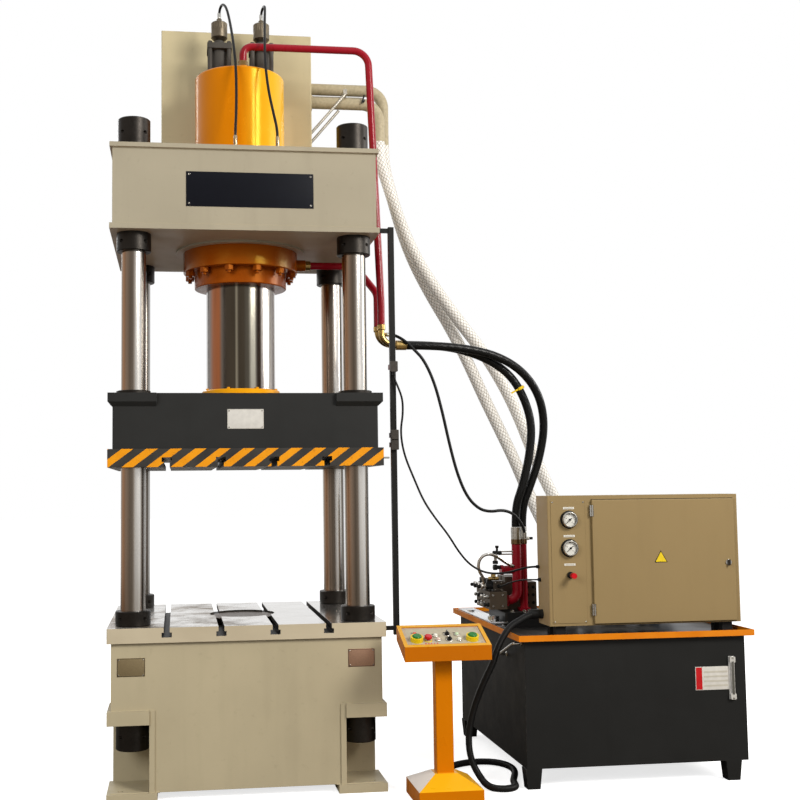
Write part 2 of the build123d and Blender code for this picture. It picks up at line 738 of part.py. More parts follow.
def pilot_heads():
    """The knurled round pilot heads on the prefill valves, each with a hose fitting on top."""
    heads = []
    z0 = VALVE_TOP_Z + PILOT_NECK_H
    z1 = z0 + PILOT_CONE_H
    z2 = z1 + PILOT_HEAD_H
    for x in VALVE_X:
        cone = Pos(x, VALVE_Y, (z0 + z1) / 2) * Cone(PILOT_NECK_R, PILOT_HEAD_R, PILOT_CONE_H)
        head = cone + chamfer(disc(PILOT_HEAD_R, z1, z2, x, VALVE_Y).edges().group_by(Axis.Z)[-1], 5)
        for gx, gy in around(PILOT_GROOVE_COUNT, 2 * PILOT_HEAD_R + 3):
            head -= disc(3.5, z1 + PILOT_HEAD_H / 2, z2 + 1, x + gx, VALVE_Y + gy)
        heads.append(head + hex_prism(2 * PILOT_FITTING_R, z2 - 1, z2 + PILOT_FITTING_H, x, VALVE_Y))
    return group(heads)


def tank_pipes():
    """Suction stubs between the valves and the tank, and the two return pipes with their stays."""
    pieces = []
    for x in VALVE_X:
        y0 = VALVE_Y + VALVE_W / 2
        pipe = bar_y(SUCTION_R, y0, FILL_Y0, x, SUCTION_Z)
        pipe += bar_y(SUCTION_FLANGE_R, FILL_Y0 - SUCTION_FLANGE_T, FILL_Y0, x, SUCTION_Z)
        pieces.append(pipe - bar_y(SUCTION_R - RETURN_WALL, y0 - 1, FILL_Y0 + 1, x, SUCTION_Z))
    side = FILL_W / 2
    bore = RETURN_R - RETURN_WALL
    for x, y, z in (RETURN_UPPER, RETURN_LOWER):
        points = [(side, y, z), (x, y, z), (x, y, RETURN_END_Z)]
        pipe = tube(points, [RETURN_BEND_R], RETURN_R, RETURN_WALL)
        flange = bar_x(RETURN_R + 14, side, side + RETURN_FLANGE_T, y, z)
        pieces.append(pipe + flange - bar_x(bore, side - 1, side + RETURN_FLANGE_T + 1, y, z))
    for x, y in STUB_PLACES:
        stub = ring(RETURN_R, bore, TRAY_DECK, STUB_TOP, x, y)
        pieces.append(stub + ring(RETURN_R + 14, RETURN_R, TRAY_DECK, TRAY_DECK + RETURN_FLANGE_T, x, y))
    return group(pieces)


def rod(start, end, radius):
    """A round rod between two points."""
    start, end = Vector(*start), Vector(*end)
    base = Plane(start, z_dir=end - start)
    return base * Cylinder(radius, (end - start).length, align=(Align.CENTER, Align.CENTER, Align.MIN))


def pipe_stays():
    """The two struts from the tank's side, the bar between the return pipes and the tie rod."""
    side = FILL_W / 2
    ends = [[(side + x, y, z) for x, y, z in stay] for stay in STAYS]
    front, rear = [rod(start, end, STAY_R) for start, end in ends]
    x, y, z = ends[0][1]
    under = RETURN_UPPER[2] - RETURN_R
    bar = block((x - STAY_BAR_W / 2, x + STAY_BAR_W / 2), (y - STAY_R, RETURN_UPPER[1] + STAY_R), (z, under))
    lower = RETURN_LOWER[2] + RETURN_R + TIE_ROD_R
    tie = bar_x(TIE_ROD_R, side + RETURN_FLANGE_T, TIE_ROD_END, RETURN_LOWER[1], lower)
    rear -= bar_x(RETURN_R, side, RETURN_LOWER[0], RETURN_LOWER[1], RETURN_LOWER[2])
    tank = block((-side, side), (FILL_Y0, FILL_Y1), (HEAD_TOP, FILL_TOP))
    return [front - tank + bar + tie, rear - tank]


def pressure_pipes():
    """The red pipe from the cylinder head and the one from the lower port."""
    head_z = CYL_TOP + HEAD_PORT_H + HEAD_NUT_H
    first = [(HEAD_PORT_X, HEAD_PORT_Y, head_z), (HEAD_PORT_X, HEAD_PORT_Y, PRESSURE_TOP_Z),
             (PRESSURE_SIDE_X, HEAD_PORT_Y, PRESSURE_TOP_Z), PRESSURE_KNEE, PRESSURE_END]
    second = [(PORT_X + PORT_NUT_L, 0, PORT_Z), (SECOND_TURN_X, 0, PORT_Z), SECOND_KNEE, SECOND_END]
    upper = tube(first, PRESSURE_BENDS, PRESSURE_R, PRESSURE_WALL)
    lower = tube(second, SECOND_BENDS, PRESSURE_R, PRESSURE_WALL)
    return group([upper, lower])


def bent_fitting(start, reach, level):
    """A brass elbow that turns the end of a pipe into the level run of a hose."""
    knee = (start[0], start[1], level)
    hose_end = (start[0] + reach, start[1], level)
    path = FilletPolyline(start, knee, hose_end, radius=[ELBOW_BEND_R])
    body = sweep(Plane(path @ 0, z_dir=path % 0) * Circle(ELBOW_R), path=path)
    nut = disc(ELBOW_NUT_R, start[2] - ELBOW_NUT_H, start[2], start[0], start[1])
    ferrule = bar_x(FERRULE_R, hose_end[0] - FERRULE_H, hose_end[0], hose_end[1], hose_end[2])
    return body + chamfer(nut.edges(), 3) + chamfer(ferrule.edges(), 3)


def hose_fittings():
    """Brass and steel ends of the pipes and hoses, each on the piece that it screws into."""
    head_z = CYL_TOP + HEAD_PORT_H
    pieces = [hex_prism(50, head_z, head_z + HEAD_NUT_H, HEAD_PORT_X, HEAD_PORT_Y)]
    pieces.append(bar_x(28, PORT_X, PORT_X + PORT_NUT_L, 0, PORT_Z))
    front = bent_fitting(PRESSURE_END, ELBOW_REACH[0], UPPER_HOSE[0][2])
    x, y, z = PRESSURE_END
    stub = bar_x(PILOT_FITTING_R - 3, x, x + PILOT_STUB_L, y, PILOT_HOSE[0][2])
    pieces.append(front + stub)
    pieces.append(bent_fitting(SECOND_END, ELBOW_REACH[1], LOWER_HOSE[0][2]))
    for (x, y), radius in zip(RISERS, RISER_RADII):
        ferrule = disc(radius + 3, RISER_TOP, RISER_TOP + RISER_FERRULE_H, x, y)
        pieces.append(chamfer(ferrule.edges(), 3))
    x, y, z = PILOT_PORT
    pieces[-1] += bar_y(7, y, RISERS[1][1] - RISER_RADII[1], x, z)
    pieces[-1] += disc(12, z - 10, z + PILOT_PORT_H, x, y)
    for x, y in PREFILL_ENDS:
        nut = hex_prism(BULKHEAD_AF, HEAD_TOP, HEAD_TOP + BULKHEAD_AF, x, y)
        pieces.append(nut + disc(BULKHEAD_AF / 3, HEAD_TOP, HEAD_TOP + BULKHEAD_H, x, y))
    return group(pieces + pipe_stays())


def limit_rail():
    """The square rail beside the columns, with a bracket at each end."""
    half = RAIL_W / 2
    rail = block((RAIL_X - half, RAIL_X + half), (STRIKER_Y - half, STRIKER_Y + half),
                 (RAIL_BOTTOM, RAIL_TOP))
    rail -= block((RAIL_X - half + 3, RAIL_X + half - 3), (STRIKER_Y - half + 3, STRIKER_Y + half - 3),
                  (RAIL_BOTTOM + 3, RAIL_TOP - 3))
    inner = HEAD_W / 2 - HEAD_LIP
    rail += block((inner, RAIL_X - half), (STRIKER_Y - 12, STRIKER_Y + 12), (RAIL_TOP - 32, RAIL_TOP - 8))
    low = RAIL_BOTTOM + 26
    return rail + block((TABLE_W / 2, RAIL_X - half), (STRIKER_Y - 12, STRIKER_Y + 12), (low, low + 24))


def limit_switches():
    """Three switches clamped round the rail, their rollers towards the slide."""
    switches = []
    half = RAIL_W / 2
    for z in SWITCH_HEIGHTS:
        clamp = block((RAIL_X - half - 6, RAIL_X + half + 6), (STRIKER_Y - half - 6, STRIKER_Y + half + 6),
                      (z - 14, z + 14))
        clamp -= block((RAIL_X - half, RAIL_X + half), (STRIKER_Y - half, STRIKER_Y + half),
                       (z - 20, z + 20))
        y1 = STRIKER_Y - half - 6
        case = block((RAIL_X - SWITCH_W / 2, RAIL_X + SWITCH_W / 2), (y1 - 26, y1),
                     (z - SWITCH_H / 2, z + SWITCH_H / 2))
        case = fillet(case.edges().filter_by(Axis.Y), 5)
        switches.append(clamp + case)
    return group(switches)


def oil_tank():
    """The oil tank on four tapered legs, with two return stubs behind the cabinet."""
    x = (TANK_X0, TANK_X1)
    y = (TANK_Y0, TANK_Y1)
    body = block(x, y, (TANK_BOTTOM, TRAY_FLOOR))
    wall = TANK_WALL
    body -= block((x[0] + wall, x[1] - wall), (y[0] + wall, y[1] - wall),
                  (TANK_BOTTOM + wall, TRAY_FLOOR - wall))
    for lx in (x[0], x[1] - LEG_INSET - LEG_W):
        for ly in (y[0], y[1] - LEG_W):
            top = Pos(lx + LEG_W / 2, ly + LEG_W / 2, TANK_BOTTOM) * Rectangle(LEG_W + 14, LEG_W)
            foot = Pos(lx + LEG_W / 2, ly + LEG_W / 2, 0) * Rectangle(LEG_W - 8, LEG_W - 8)
            body += loft([foot, top])
    return body


def drip_tray():
    """The tray on the tank, with its folded orange rim and the return stubs for the hoses."""
    tray = block((TRAY_X0, TRAY_X1), (TRAY_Y0, TRAY_Y1), (TRAY_FLOOR, TRAY_TOP))
    wall = TRAY_WALL
    return tray - block((TRAY_X0 + wall, TRAY_X1 - wall), (TRAY_Y0 + wall, TRAY_Y1 - wall),
                        (TRAY_DECK, TRAY_TOP + 1))


def level_gauge():
    """The oil level gauge: a glass tube in a frame, with a bolt block at each end."""
    low, high = GAUGE_Z
    half = GAUGE_W / 2
    y = (TANK_Y0 - GAUGE_T, TANK_Y0)
    body = block((GAUGE_X - half, GAUGE_X + half), (TANK_Y0 - 8, TANK_Y0), (low, high))
    for z in ((low, low + 34), (high - 34, high)):
        body += chamfer(block((GAUGE_X - half, GAUGE_X + half), y, z).edges().filter_by(Axis.Y), 5)
    return body + disc(GLASS_R, low + 30, high - 30, GAUGE_X, TANK_Y0 - 8 - GLASS_R - 1)


def cleanout_cover():
    """The bare cover beside the valves, with its bolts, a filler cap and a return filter head."""
    x0, x1 = COVER_X
    y0, y1 = COVER_Y
    body = block(COVER_X, COVER_Y, (TRAY_DECK, TRAY_DECK + COVER_T))
    body = fillet(body.edges().filter_by(Axis.Z), 12)
    top = TRAY_DECK + COVER_T
    count = 5
    for i in range(count):
        y = y0 + 25 + (y1 - y0 - 50) * i / (count - 1)
        for x in (x0 + 12, x1 - 12):
            body += hex_prism(13, top - 1, top + 8, x, y)
    mid = (x0 + x1) / 2
    body += disc(30, top - 1, top + 22, mid, y0 + 120)
    body += disc(34, top + 22, top + 46, mid, y0 + 120)
    return body + disc(26, top - 1, top + 30, mid, y1 - 160)


def valve_manifold():
    """The valve block on its plinth, with a side block and two cartridge covers."""
    deck = TRAY_DECK + PLINTH_H
    body = block(PLINTH_X, PLINTH_Y, (TRAY_DECK, deck))
    body = chamfer(body.edges().filter_by(Axis.Z), 10)
    upper = block(BLOCK_X, BLOCK_Y, (deck, BLOCK_TOP))
    body += chamfer(upper.edges().filter_by(Axis.Z), 4)
    body += block((SIDE_BLOCK_X[0], SIDE_BLOCK_X[1] + 10), SIDE_BLOCK_Y, SIDE_BLOCK_Z)
    for y in (BLOCK_Y[0] + CARTRIDGE_W / 2, BLOCK_Y[1] - CARTRIDGE_W / 2):
        cover = block((CARTRIDGE_X - CARTRIDGE_W / 2, CARTRIDGE_X + CARTRIDGE_W / 2),
                      (y - CARTRIDGE_W / 2 + 4, y + CARTRIDGE_W / 2 - 4),
                      (BLOCK_TOP, BLOCK_TOP + CARTRIDGE_H))
        body += chamfer(cover.edges().filter_by(Axis.Z), 6)
    return body


def solenoid_valves():
    """Three directional valves on the side block, each with a coil towards the left and a plug."""
    valves = []
    x0, x1 = SIDE_BLOCK_X
    low = SIDE_BLOCK_Z[1]
    for i in range(3):
        y = SOLENOID_Y + i * SOLENOID_PITCH
        body = block((x0 + 30, x1), (y - 24, y + 24), (low, low + SOLENOID_H))
        body = chamfer(body.edges().filter_by(Axis.X), 4)
        coil = bar_x(19, x0 - 14, x0 + 31, y, low + SOLENOID_H / 2)
        tip = bar_x(8, x0 - 34, x0 - 13, y, low + SOLENOID_H / 2)
        plug = block((x0 - 4, x0 + 24), (y - 13, y + 13), (low + SOLENOID_H / 2, low + SOLENOID_H + 12))
        valves.append(body + coil + tip + plug)
    return group(valves)


def riser_pipes():
    """The two red risers: one bends into the side block and has a tee, one stands on the plinth."""
    (x, y), radius = RISERS[0], RISER_RADII[0]
    end = SIDE_BLOCK_X[1] + 10
    path = FilletPolyline((x, y, RISER_TOP), (x, y, RISER_BEND_Z), (end, y, RISER_BEND_Z),
                          radius=[RISER_BEND_R])
    bent = sweep(Plane(path @ 0, z_dir=path % 0) * Circle(radius), path=path)
    half = RISER_FLANGE / 2
    bent += block((end, end + RISER_FLANGE_T), (y - half, y + half),
                  (RISER_BEND_Z - half, RISER_BEND_Z + half))
    bent += bar_x(TEE_R, TEE_X, x, y, TEE_Z)
    bent += bar_x(TEE_R + 5, TEE_X, TEE_X + 16, y, TEE_Z)
    (x, y), radius = RISERS[1], RISER_RADII[1]
    foot = TRAY_DECK + PLINTH_H
    straight = disc(radius, foot, RISER_TOP, x, y)
    straight += block((x - half, x + half), (y - half, y + half), (foot, foot + RISER_FLANGE_T))
    return group([bent, straight])


def motor():
    """A finned foot-mounted motor with a fan cowl and a terminal box."""
    x0, x1 = MOTOR_X
    body = bar_x(MOTOR_R - FIN_H, x0, x1 - FAN_COWL_L, MOTOR_Y, MOTOR_Z)
    for i in range(FIN_COUNT):
        angle = 360 * i / FIN_COUNT
        fin = Pos((x0 + x1 - FAN_COWL_L) / 2, 0, MOTOR_R - FIN_H)
        fin *= Box(x1 - x0 - FAN_COWL_L - 30, 5, 2 * FIN_H)
        body += Pos(0, MOTOR_Y, MOTOR_Z) * Rot(angle, 0, 0) * fin
    cowl = bar_x(MOTOR_R, x1 - FAN_COWL_L, x1, MOTOR_Y, MOTOR_Z)
    body += fillet(cowl.edges().group_by(Axis.X)[-1], 18)
    body += bar_x(MOTOR_R + 10, x0, x0 + 22, MOTOR_Y, MOTOR_Z)
    box = block((x0 + 90, x0 + 220), (MOTOR_Y - 60, MOTOR_Y + 60), (MOTOR_Z + 90, MOTOR_Z + MOTOR_R + 60))
    body += fillet(box.edges().filter_by(Axis.Z), 8)
    for x in (x0 + 40, x1 - FAN_COWL_L - 70):
        body += block((x, x + 50), (MOTOR_Y - 130, MOTOR_Y + 130), (TRAY_DECK, TRAY_DECK + 22))
        for y in (MOTOR_Y - 110, MOTOR_Y + 80):
            body += block((x, x + 50), (y, y + 30), (TRAY_DECK, MOTOR_Z - 60))
    return body


def pump_unit():
    """The bell housing on the motor and the axial pump with its two ports."""
    x0 = MOTOR_X[0]
    body = bar_x(MOTOR_R - 20, x0 - BELL_L, x0, MOTOR_Y, MOTOR_Z)
    body += bar_x(PUMP_R, x0 - BELL_L - PUMP_L, x0 - BELL_L + 1, MOTOR_Y, MOTOR_Z)
    end = bar_x(PUMP_R - 12, x0 - BELL_L - PUMP_L - 30, x0 - BELL_L - PUMP_L + 1, MOTOR_Y, MOTOR_Z)
    body += chamfer(end.edges().group_by(Axis.X)[0], 8)
    mid = x0 - BELL_L - PUMP_L / 2
    body += disc(30, TRAY_DECK, MOTOR_Z, mid, MOTOR_Y)
    return body + disc(24, MOTOR_Z, MOTOR_Z + PUMP_R + 40, mid, MOTOR_Y)


def cabinet():
    """The sheet-metal cabinet on four feet, with a gauge sheet and three strips round the door."""
    wall = CAB_WALL
    shell = block(CAB_X, CAB_Y, CAB_Z)
    shell = fillet(shell.edges().filter_by(Axis.Z), CAB_EDGE_R)
    seam = CAB_Y[0] + wall
    front = shell & block(CAB_X, (CAB_Y[0], seam), CAB_Z)
    body = shell - front
    body -= block((CAB_X[0] + wall, CAB_X[1] - wall), (seam - 1, CAB_Y[1] - wall),
                  (CAB_Z[0] + wall, CAB_Z[1] - wall))
    left = DOOR_X[0] + OPENING_LIP
    right = DOOR_X[1] - OPENING_LIP
    low = DOOR_Z[0] + OPENING_LIP
    high = DOOR_Z[1] - OPENING_LIP
    strips = [front & block((right, CAB_X[1]), (CAB_Y[0], seam), CAB_Z)]
    for span in ((CAB_Z[0], low), (high, CAB_Z[1])):
        strips.append(front & block((left, right), (CAB_Y[0], seam), span))
    sheet = front & block((CAB_X[0], left), (CAB_Y[0], seam), CAB_Z)
    for x in (CAB_X[0] + 40, CAB_X[1] - 100):
        for y in (CAB_Y[0] + 30, CAB_Y[1] - 70):
            body += block((x, x + 60), (y, y + 40), (TRAY_DECK, CAB_Z[0]))
    sheet += block(PANEL_X, (CAB_Y[0] - PANEL_T, CAB_Y[0]), PANEL_Z)
    sheet -= bar_y(4, CAB_Y[0] - 10, CAB_Y[0] + 10, DIAL_X, KNOB_Z)
    body += bar_x(26, CAB_X[0] - 20, CAB_X[0], CONDUIT[0][1], CONDUIT[0][2])
    body += bar_x(10, CAB_X[0] - 16, CAB_X[0], SENSOR_CABLE[-1][1], SENSOR_CABLE[-1][2])
    return group([body, sheet] + strips)


def cabinet_backplate():
    """The mounting plate in the cabinet, with contactors, relays, wire ducts and a terminal row."""
    left, low = DOOR_X[0], DOOR_Z[0]
    back = CAB_Y[1] - CAB_WALL
    front = back - SPACER_L - BACKPLATE_T
    across, up = BACKPLATE_INSET
    plate = block((left + across, DOOR_X[1] - across), (front, front + BACKPLATE_T),
                  (low + up, DOOR_Z[1] - up))
    across, up = SPACER_INSET
    for x in (left + across, DOOR_X[1] - across):
        for z in (low + up, DOOR_Z[1] - up):
            plate += bar_y(SPACER_R, back - SPACER_L - 1, back, x, z)
    rows = ((CONTACTOR_COUNT, CONTACTOR_PITCH, CONTACTOR_SIZE, CONTACTOR_PLACE),
            (RELAY_COUNT, RELAY_PITCH, RELAY_SIZE, RELAY_PLACE))
    for count, pitch, (width, depth, height), (first, level) in rows:
        for i in range(count):
            x = left + first + pitch * i
            plate += block((x, x + width), (front - depth, front + 1), (low + level, low + level + height))
    depth, height = TERMINAL_SIZE
    inset, level = TERMINAL_PLACE
    plate += block((left + inset, DOOR_X[1] - inset), (front - depth, front + 1),
                   (low + level, low + level + height))
    depth, height = DUCT_SIZE
    for level in DUCT_HEIGHTS:
        z = low + level
        plate += block((left + DUCT_INSET, DOOR_X[1] - DUCT_INSET), (front - depth, front + 1),
                       (z - height / 2, z + height / 2))
    return plate


def cabinet_door():
    """The door as a folded pan, with a hinge leaf at each knuckle and a hole for the lock."""
    y0 = CAB_Y[0] - DOOR_T
    y1 = CAB_Y[0] - DOOR_GAP
    body = block(DOOR_X, (y0, y1), DOOR_Z)
    body = fillet(body.faces().sort_by(Axis.Y)[0].edges(), 3)
    sheet = DOOR_SHEET
    body -= block((DOOR_X[0] + sheet, DOOR_X[1] - sheet), (y0 + sheet, y1 + 1),
                  (DOOR_Z[0] + sheet, DOOR_Z[1] - sheet))
    reach = HINGE_R + HINGE_GAP
    side = HINGE_X + reach
    back = HINGE_Y + reach
    for z in HINGE_Z:
        inside = (z - HINGE_L / 2 - 1, z + HINGE_L / 2 + 1)
        outside = (inside[0] - 3, inside[1] + 3)
        body += block((DOOR_X[0], side + 4), (y0, back + 2), outside)
        body -= block((DOOR_X[0] - 1, side), (y0 - 1, back), inside)
    return body - bar_y(LOCK_R + HINGE_GAP, y0 - 1, y1 + 1, LOCK_X, LOCK_Z)


def door_hinges():
    """Two hinge pins with the leaf that holds each one to the cabinet."""
    hinges = []
    left = HINGE_X - HINGE_R - 6
    for z in HINGE_Z:
        span = (z - HINGE_L / 2, z + HINGE_L / 2)
        pin = disc(HINGE_R, span[0], span[1], HINGE_X, HINGE_Y)
        leaf = block((left, HINGE_X - HINGE_R + 2), (HINGE_Y, CAB_Y[0]), span)
        leaf += block((left, HINGE_X), (HINGE_Y - 2, HINGE_Y + 2), span)
        hinges.append(pin + leaf)
    return group(hinges)


def door_lock():
    """The quarter-turn lock with its wing and the cam behind the door."""
    y0 = CAB_Y[0] - DOOR_T
    body = bar_y(LOCK_R, y0 - 4, CAB_Y[0] + CAB_WALL + 5, LOCK_X, LOCK_Z)
    body += bar_y(LOCK_R + 4, y0 - 5, y0 - 1, LOCK_X, LOCK_Z)
    body += block((LOCK_X - 4, LOCK_X + 4), (y0 - 20, y0 - 3), (LOCK_Z - 16, LOCK_Z + 16))
    back = CAB_Y[0] + CAB_WALL
    return body + block((LOCK_X - 8, LOCK_X + 8), (back + 1, back + 5), (LOCK_Z - 8, LOCK_Z + 42))


def gauge_cases():
    """Two gauge cases with a bezel, a dial and a pivot each."""
    cases = []
    y1 = CAB_Y[0] - PANEL_T
    for z in DIAL_Z:
        case = bar_y(DIAL_R, y1 - DIAL_DEPTH, y1, DIAL_X, z)
        case = chamfer(case.edges().group_by(Axis.Y)[0], 4)
        case -= bar_y(DIAL_R - 7, y1 - DIAL_DEPTH - 1, y1 - 14, DIAL_X, z)
        cases.append(case + bar_y(PIVOT_R, y1 - NEEDLE_DEPTH - 2.6, y1 - 13, DIAL_X, z))
    return group(cases)


def gauge_needle(z):
    """A needle on its hub, pointing to the zero of the dial at rest."""
    y = CAB_Y[0] - PANEL_T - NEEDLE_DEPTH
    hub = bar_y(6, y - 3, y, DIAL_X, z) - bar_y(PIVOT_R + 0.3, y - 4, y + 1, DIAL_X, z)
    cap = bar_y(6, y - 4, y - 3, DIAL_X, z)
    blade = Pos(0, y - 2, 12) * Box(2.4, 1.5, 32)
    tail = Pos(0, y - 2, -9) * Box(4, 1.5, 12)
    hand = (blade + tail) - bar_y(4, y - 4, y + 1, 0, 0)
    return hub + cap + Pos(DIAL_X, 0, z) * Rot(0, -135, 0) * hand


def regulator_knob():
    """The pressure regulator on its panel stalk: a nut, a fluted knob and a red end cap."""
    y1 = CAB_Y[0] - PANEL_T
    body = bar_y(3.7, y1 - 12, CAB_Y[0] + 9, DIAL_X, KNOB_Z)
    body += bar_y(KNOB_R, y1 - 14, y1 - 0.4, DIAL_X, KNOB_Z)
    body += bar_y(11, y1 - 46, y1 - 13, DIAL_X, KNOB_Z)
    knob = bar_y(16, y1 - 72, y1 - 45, DIAL_X, KNOB_Z)
    for gx, gz in around(12, 34):
        knob -= bar_y(2.6, y1 - 73, y1 - 50, DIAL_X + gx, KNOB_Z + gz)
    return body + knob


def pedestal():
    """The post of the control stand on its sloped base."""
    x = (STAND_X - BASE_W / 2, STAND_X + BASE_W / 2)
    y = (STAND_Y - BASE_D / 2, STAND_Y + BASE_D / 2)
    skirt = block(x, y, (0, BASE_SKIRT))
    low = Pos(STAND_X, STAND_Y, BASE_SKIRT) * Rectangle(BASE_W, BASE_D)
    high = Pos(STAND_X, STAND_Y, BASE_SKIRT + BASE_SLOPE_H) * Rectangle(POST_W + 30, POST_D + 30)
    body = skirt + loft([low, high])
    top = console_underside(STAND_Y + POST_D / 2)
    post = block((STAND_X - POST_W / 2, STAND_X + POST_W / 2), (STAND_Y - POST_D / 2, STAND_Y + POST_D / 2),
                 (BASE_SKIRT, top))
    body += fillet(post.edges().filter_by(Axis.Z), 5)
    body -= console_outline(0)
    return body + bar_y(CONDUIT_D / 2 + 5, y[1] - 1, y[1] + 20, CONDUIT[-1][0], CONDUIT[-1][2])


def console_underside(y):
    """Height of the console's underside at a place along Y."""
    share = (y - CONSOLE_Y[0]) / (CONSOLE_Y[1] - CONSOLE_Y[0])
    return CONSOLE_FRONT_Z[0] + CONSOLE_SLOPE * share


def console_outline(sheet):
    """The sloped box of the console, inset all round by a sheet thickness."""
    y0 = CONSOLE_Y[0] + sheet
    y1 = CONSOLE_Y[1] - sheet
    rise = CONSOLE_FRONT_Z[1] - CONSOLE_FRONT_Z[0]
    low = [(y0, console_underside(y0) + sheet), (y1, console_underside(y1) + sheet)]
    high = [(y1, console_underside(y1) + rise - sheet), (y0, console_underside(y0) + rise - sheet)]
    outline = make_face(Polyline(*low, *high, close=True))
    half = CONSOLE_W / 2 - sheet
    return Pos(STAND_X - half, 0, 0) * extrude(Plane.YZ * outline, amount=2 * half)


def panel_frame(u, v, height):
    """A place on the sloped panel: u across from the middle, v up the slope, height above it."""
    mid_y = (CONSOLE_Y[0] + CONSOLE_Y[1]) / 2
    rise = CONSOLE_FRONT_Z[1] - CONSOLE_FRONT_Z[0]
    centre = Pos(STAND_X, mid_y, console_underside(mid_y) + rise) * Rot(TILT, 0, 0)
    return centre * Pos(u, v, height)


def console():
    """The sloped console box, with a window for the panel and a shelf under it."""
    body = console_outline(0) - console_outline(CONSOLE_SHEET)
    body -= panel_frame(0, 0, 0) * Box(PANEL_W, PANEL_L, 4 * CONSOLE_SHEET)
    shelf = Box(PANEL_W + 2 * CONSOLE_SHEET, PANEL_L + 2 * CONSOLE_SHEET, PANEL_RECESS)
    hole = Box(PANEL_W, PANEL_L, PANEL_RECESS + 2)
    frame = panel_frame(0, 0, -PANEL_RECESS / 2 - 0.2) * (shelf - hole)
    under = Box(PANEL_W + 2, PANEL_L + 2, 3) - Box(PANEL_W - 16, PANEL_L - 16, 5)
    return body + frame + panel_frame(0, 0, -PANEL_RECESS - 1.5) * under


def console_panel():
    """The panel plate with lamps, push-button heads and the collars of the turned switches."""
    plate = Box(PANEL_W - 0.6, PANEL_L - 0.6, PANEL_PLATE_T)
    body = panel_frame(0, 0, PANEL_FACE - PANEL_PLATE_T / 2) * plate
    for u, v in LAMPS:
        body += panel_frame(u, v, PANEL_FACE) * Cylinder(13, 12)
        body += panel_frame(u, v, PANEL_FACE + 9) * Cylinder(9, 8)
    for u, v in SELECTORS:
        body += panel_frame(u, v, PANEL_FACE) * Cylinder(SELECTOR_R + 3, 8)
    u, v = STOP_PLACE
    body += panel_frame(u, v, PANEL_FACE) * Cylinder(15, 10)
    for u, v in TWO_HAND + [STOP_PLACE]:
        body -= panel_frame(u, v, PANEL_FACE) * Cylinder(STEM_R + STEM_GAP, 30)
    return body


def two_hand_shrouds():
    """The round collars that guard the two-hand buttons."""
    shrouds = []
    for u, v in TWO_HAND:
        collar = Cylinder(SHROUD_R, SHROUD_H) - Cylinder(BUTTON_R + 1, SHROUD_H + 2)
        floor = Pos(0, 0, -SHROUD_H / 2 + 2) * (Cylinder(SHROUD_R - 1, 4) - Cylinder(STEM_R + STEM_GAP, 6))
        shrouds.append(panel_frame(u, v, PANEL_FACE + SHROUD_H / 2) * (collar + floor))
    return group(shrouds)


def two_hand_button(place):
    """A mushroom-topped palm button that travels along the panel's normal."""
    u, v = place
    cap = Cylinder(BUTTON_R, BUTTON_H)
    cap = fillet(cap.edges().group_by(Axis.Z)[-1], 6)
    button = Pos(0, 0, BUTTON_LIFT + BUTTON_H / 2) * cap
    return panel_frame(u, v, PANEL_FACE) * (button + stem(BUTTON_LIFT + 1))


def stem(top):
    """The stem that carries a button through the panel plate."""
    return Pos(0, 0, top) * Cylinder(STEM_R, top + STEM_DEPTH, align=(Align.CENTER, Align.CENTER, Align.MAX))


def emergency_stop():
    u, v = STOP_PLACE
    head = Cylinder(STOP_R, 14)
    head = fillet(head.edges().group_by(Axis.Z)[-1], 5)
    return panel_frame(u, v, PANEL_FACE) * (Pos(0, 0, STOP_LIFT + 7) * head + stem(STOP_LIFT + 1))


def selector(place):
    """A black selector switch with a raised grip."""
    u, v = place
    body = Pos(0, 0, 9.3) * Cylinder(SELECTOR_R, 10)
    grip = Pos(0, 2, 18) * Box(7, 2 * SELECTOR_R - 2, 12)
    return panel_frame(u, v, PANEL_FACE) * (body + fillet(grip.edges().filter_by(Axis.Z), 3))


# Routes of the hoses and cables
UPPER_HOSE = [(972, -200, 2476), (1120, -200, 2476), (1322, -188, 2464), (1530, -170, 2424),
              (1698, -146, 2332), (1808, -120, 2190), (1850, -84, 2010), (1820, -64, 1812),
              (1754, -57, 1630), (1701, -56, 1505), (1701, -56, 1390)]
LOWER_HOSE = [(988, -110, 2490), (1140, -110, 2490), (1318, -112, 2468), (1500, -114, 2404),
              (1636, -114, 2306), (1718, -114, 2164), (1760, -114, 2000), (1738, -113, 1812),
              (1692, -110, 1632), (1645, -106, 1508), (1645, -106, 1390)]
PILOT_HOSE = [(852, -200, 2540), (890, -200, 2540), (926, -210, 2524), (962, -236, 2494),
              (1008, -250, 2446), (1066, -252, 2384), (1126, -250, 2254), (1172, -246, 2080),
              (1212, -242, 1890), (1258, -236, 1710), (1318, -226, 1572), (1396, -204, 1500),
              (1472, -180, 1484), (1548, -166, 1494), (1612, -162, 1474), (1660, -148, 1424),
              (1688, -128, 1380), (1697, -116, 1350), (1697, -116, 1318)]
RETURN_FRONT = [(933, 400, 3890), (933, 400, 3774), (990, 402, 3602), (1070, 405, 3345),
                (1176, 408, 3110), (1308, 412, 2908), (1451, 418, 2715), (1604, 430, 2526),
                (1738, 440, 2319), (1848, 450, 2095), (1938, 464, 1868), (2036, 480, 1650),
                (2140, 490, 1462), (2246, 498, 1288), (2306, 500, 1140), (2306, 500, 1010)]
RETURN_REAR = [(974, 480, 3890), (974, 480, 3780), (1010, 487, 3628), (1076, 498, 3382),
               (1158, 503, 3146), (1276, 504, 2914), (1408, 502, 2692), (1516, 498, 2478),
               (1616, 496, 2250), (1722, 494, 2026), (1822, 492, 1816), (1908, 490, 1606),
               (2006, 490, 1392), (2092, 490, 1232), (2146, 490, 1122), (2146, 490, 1010)]
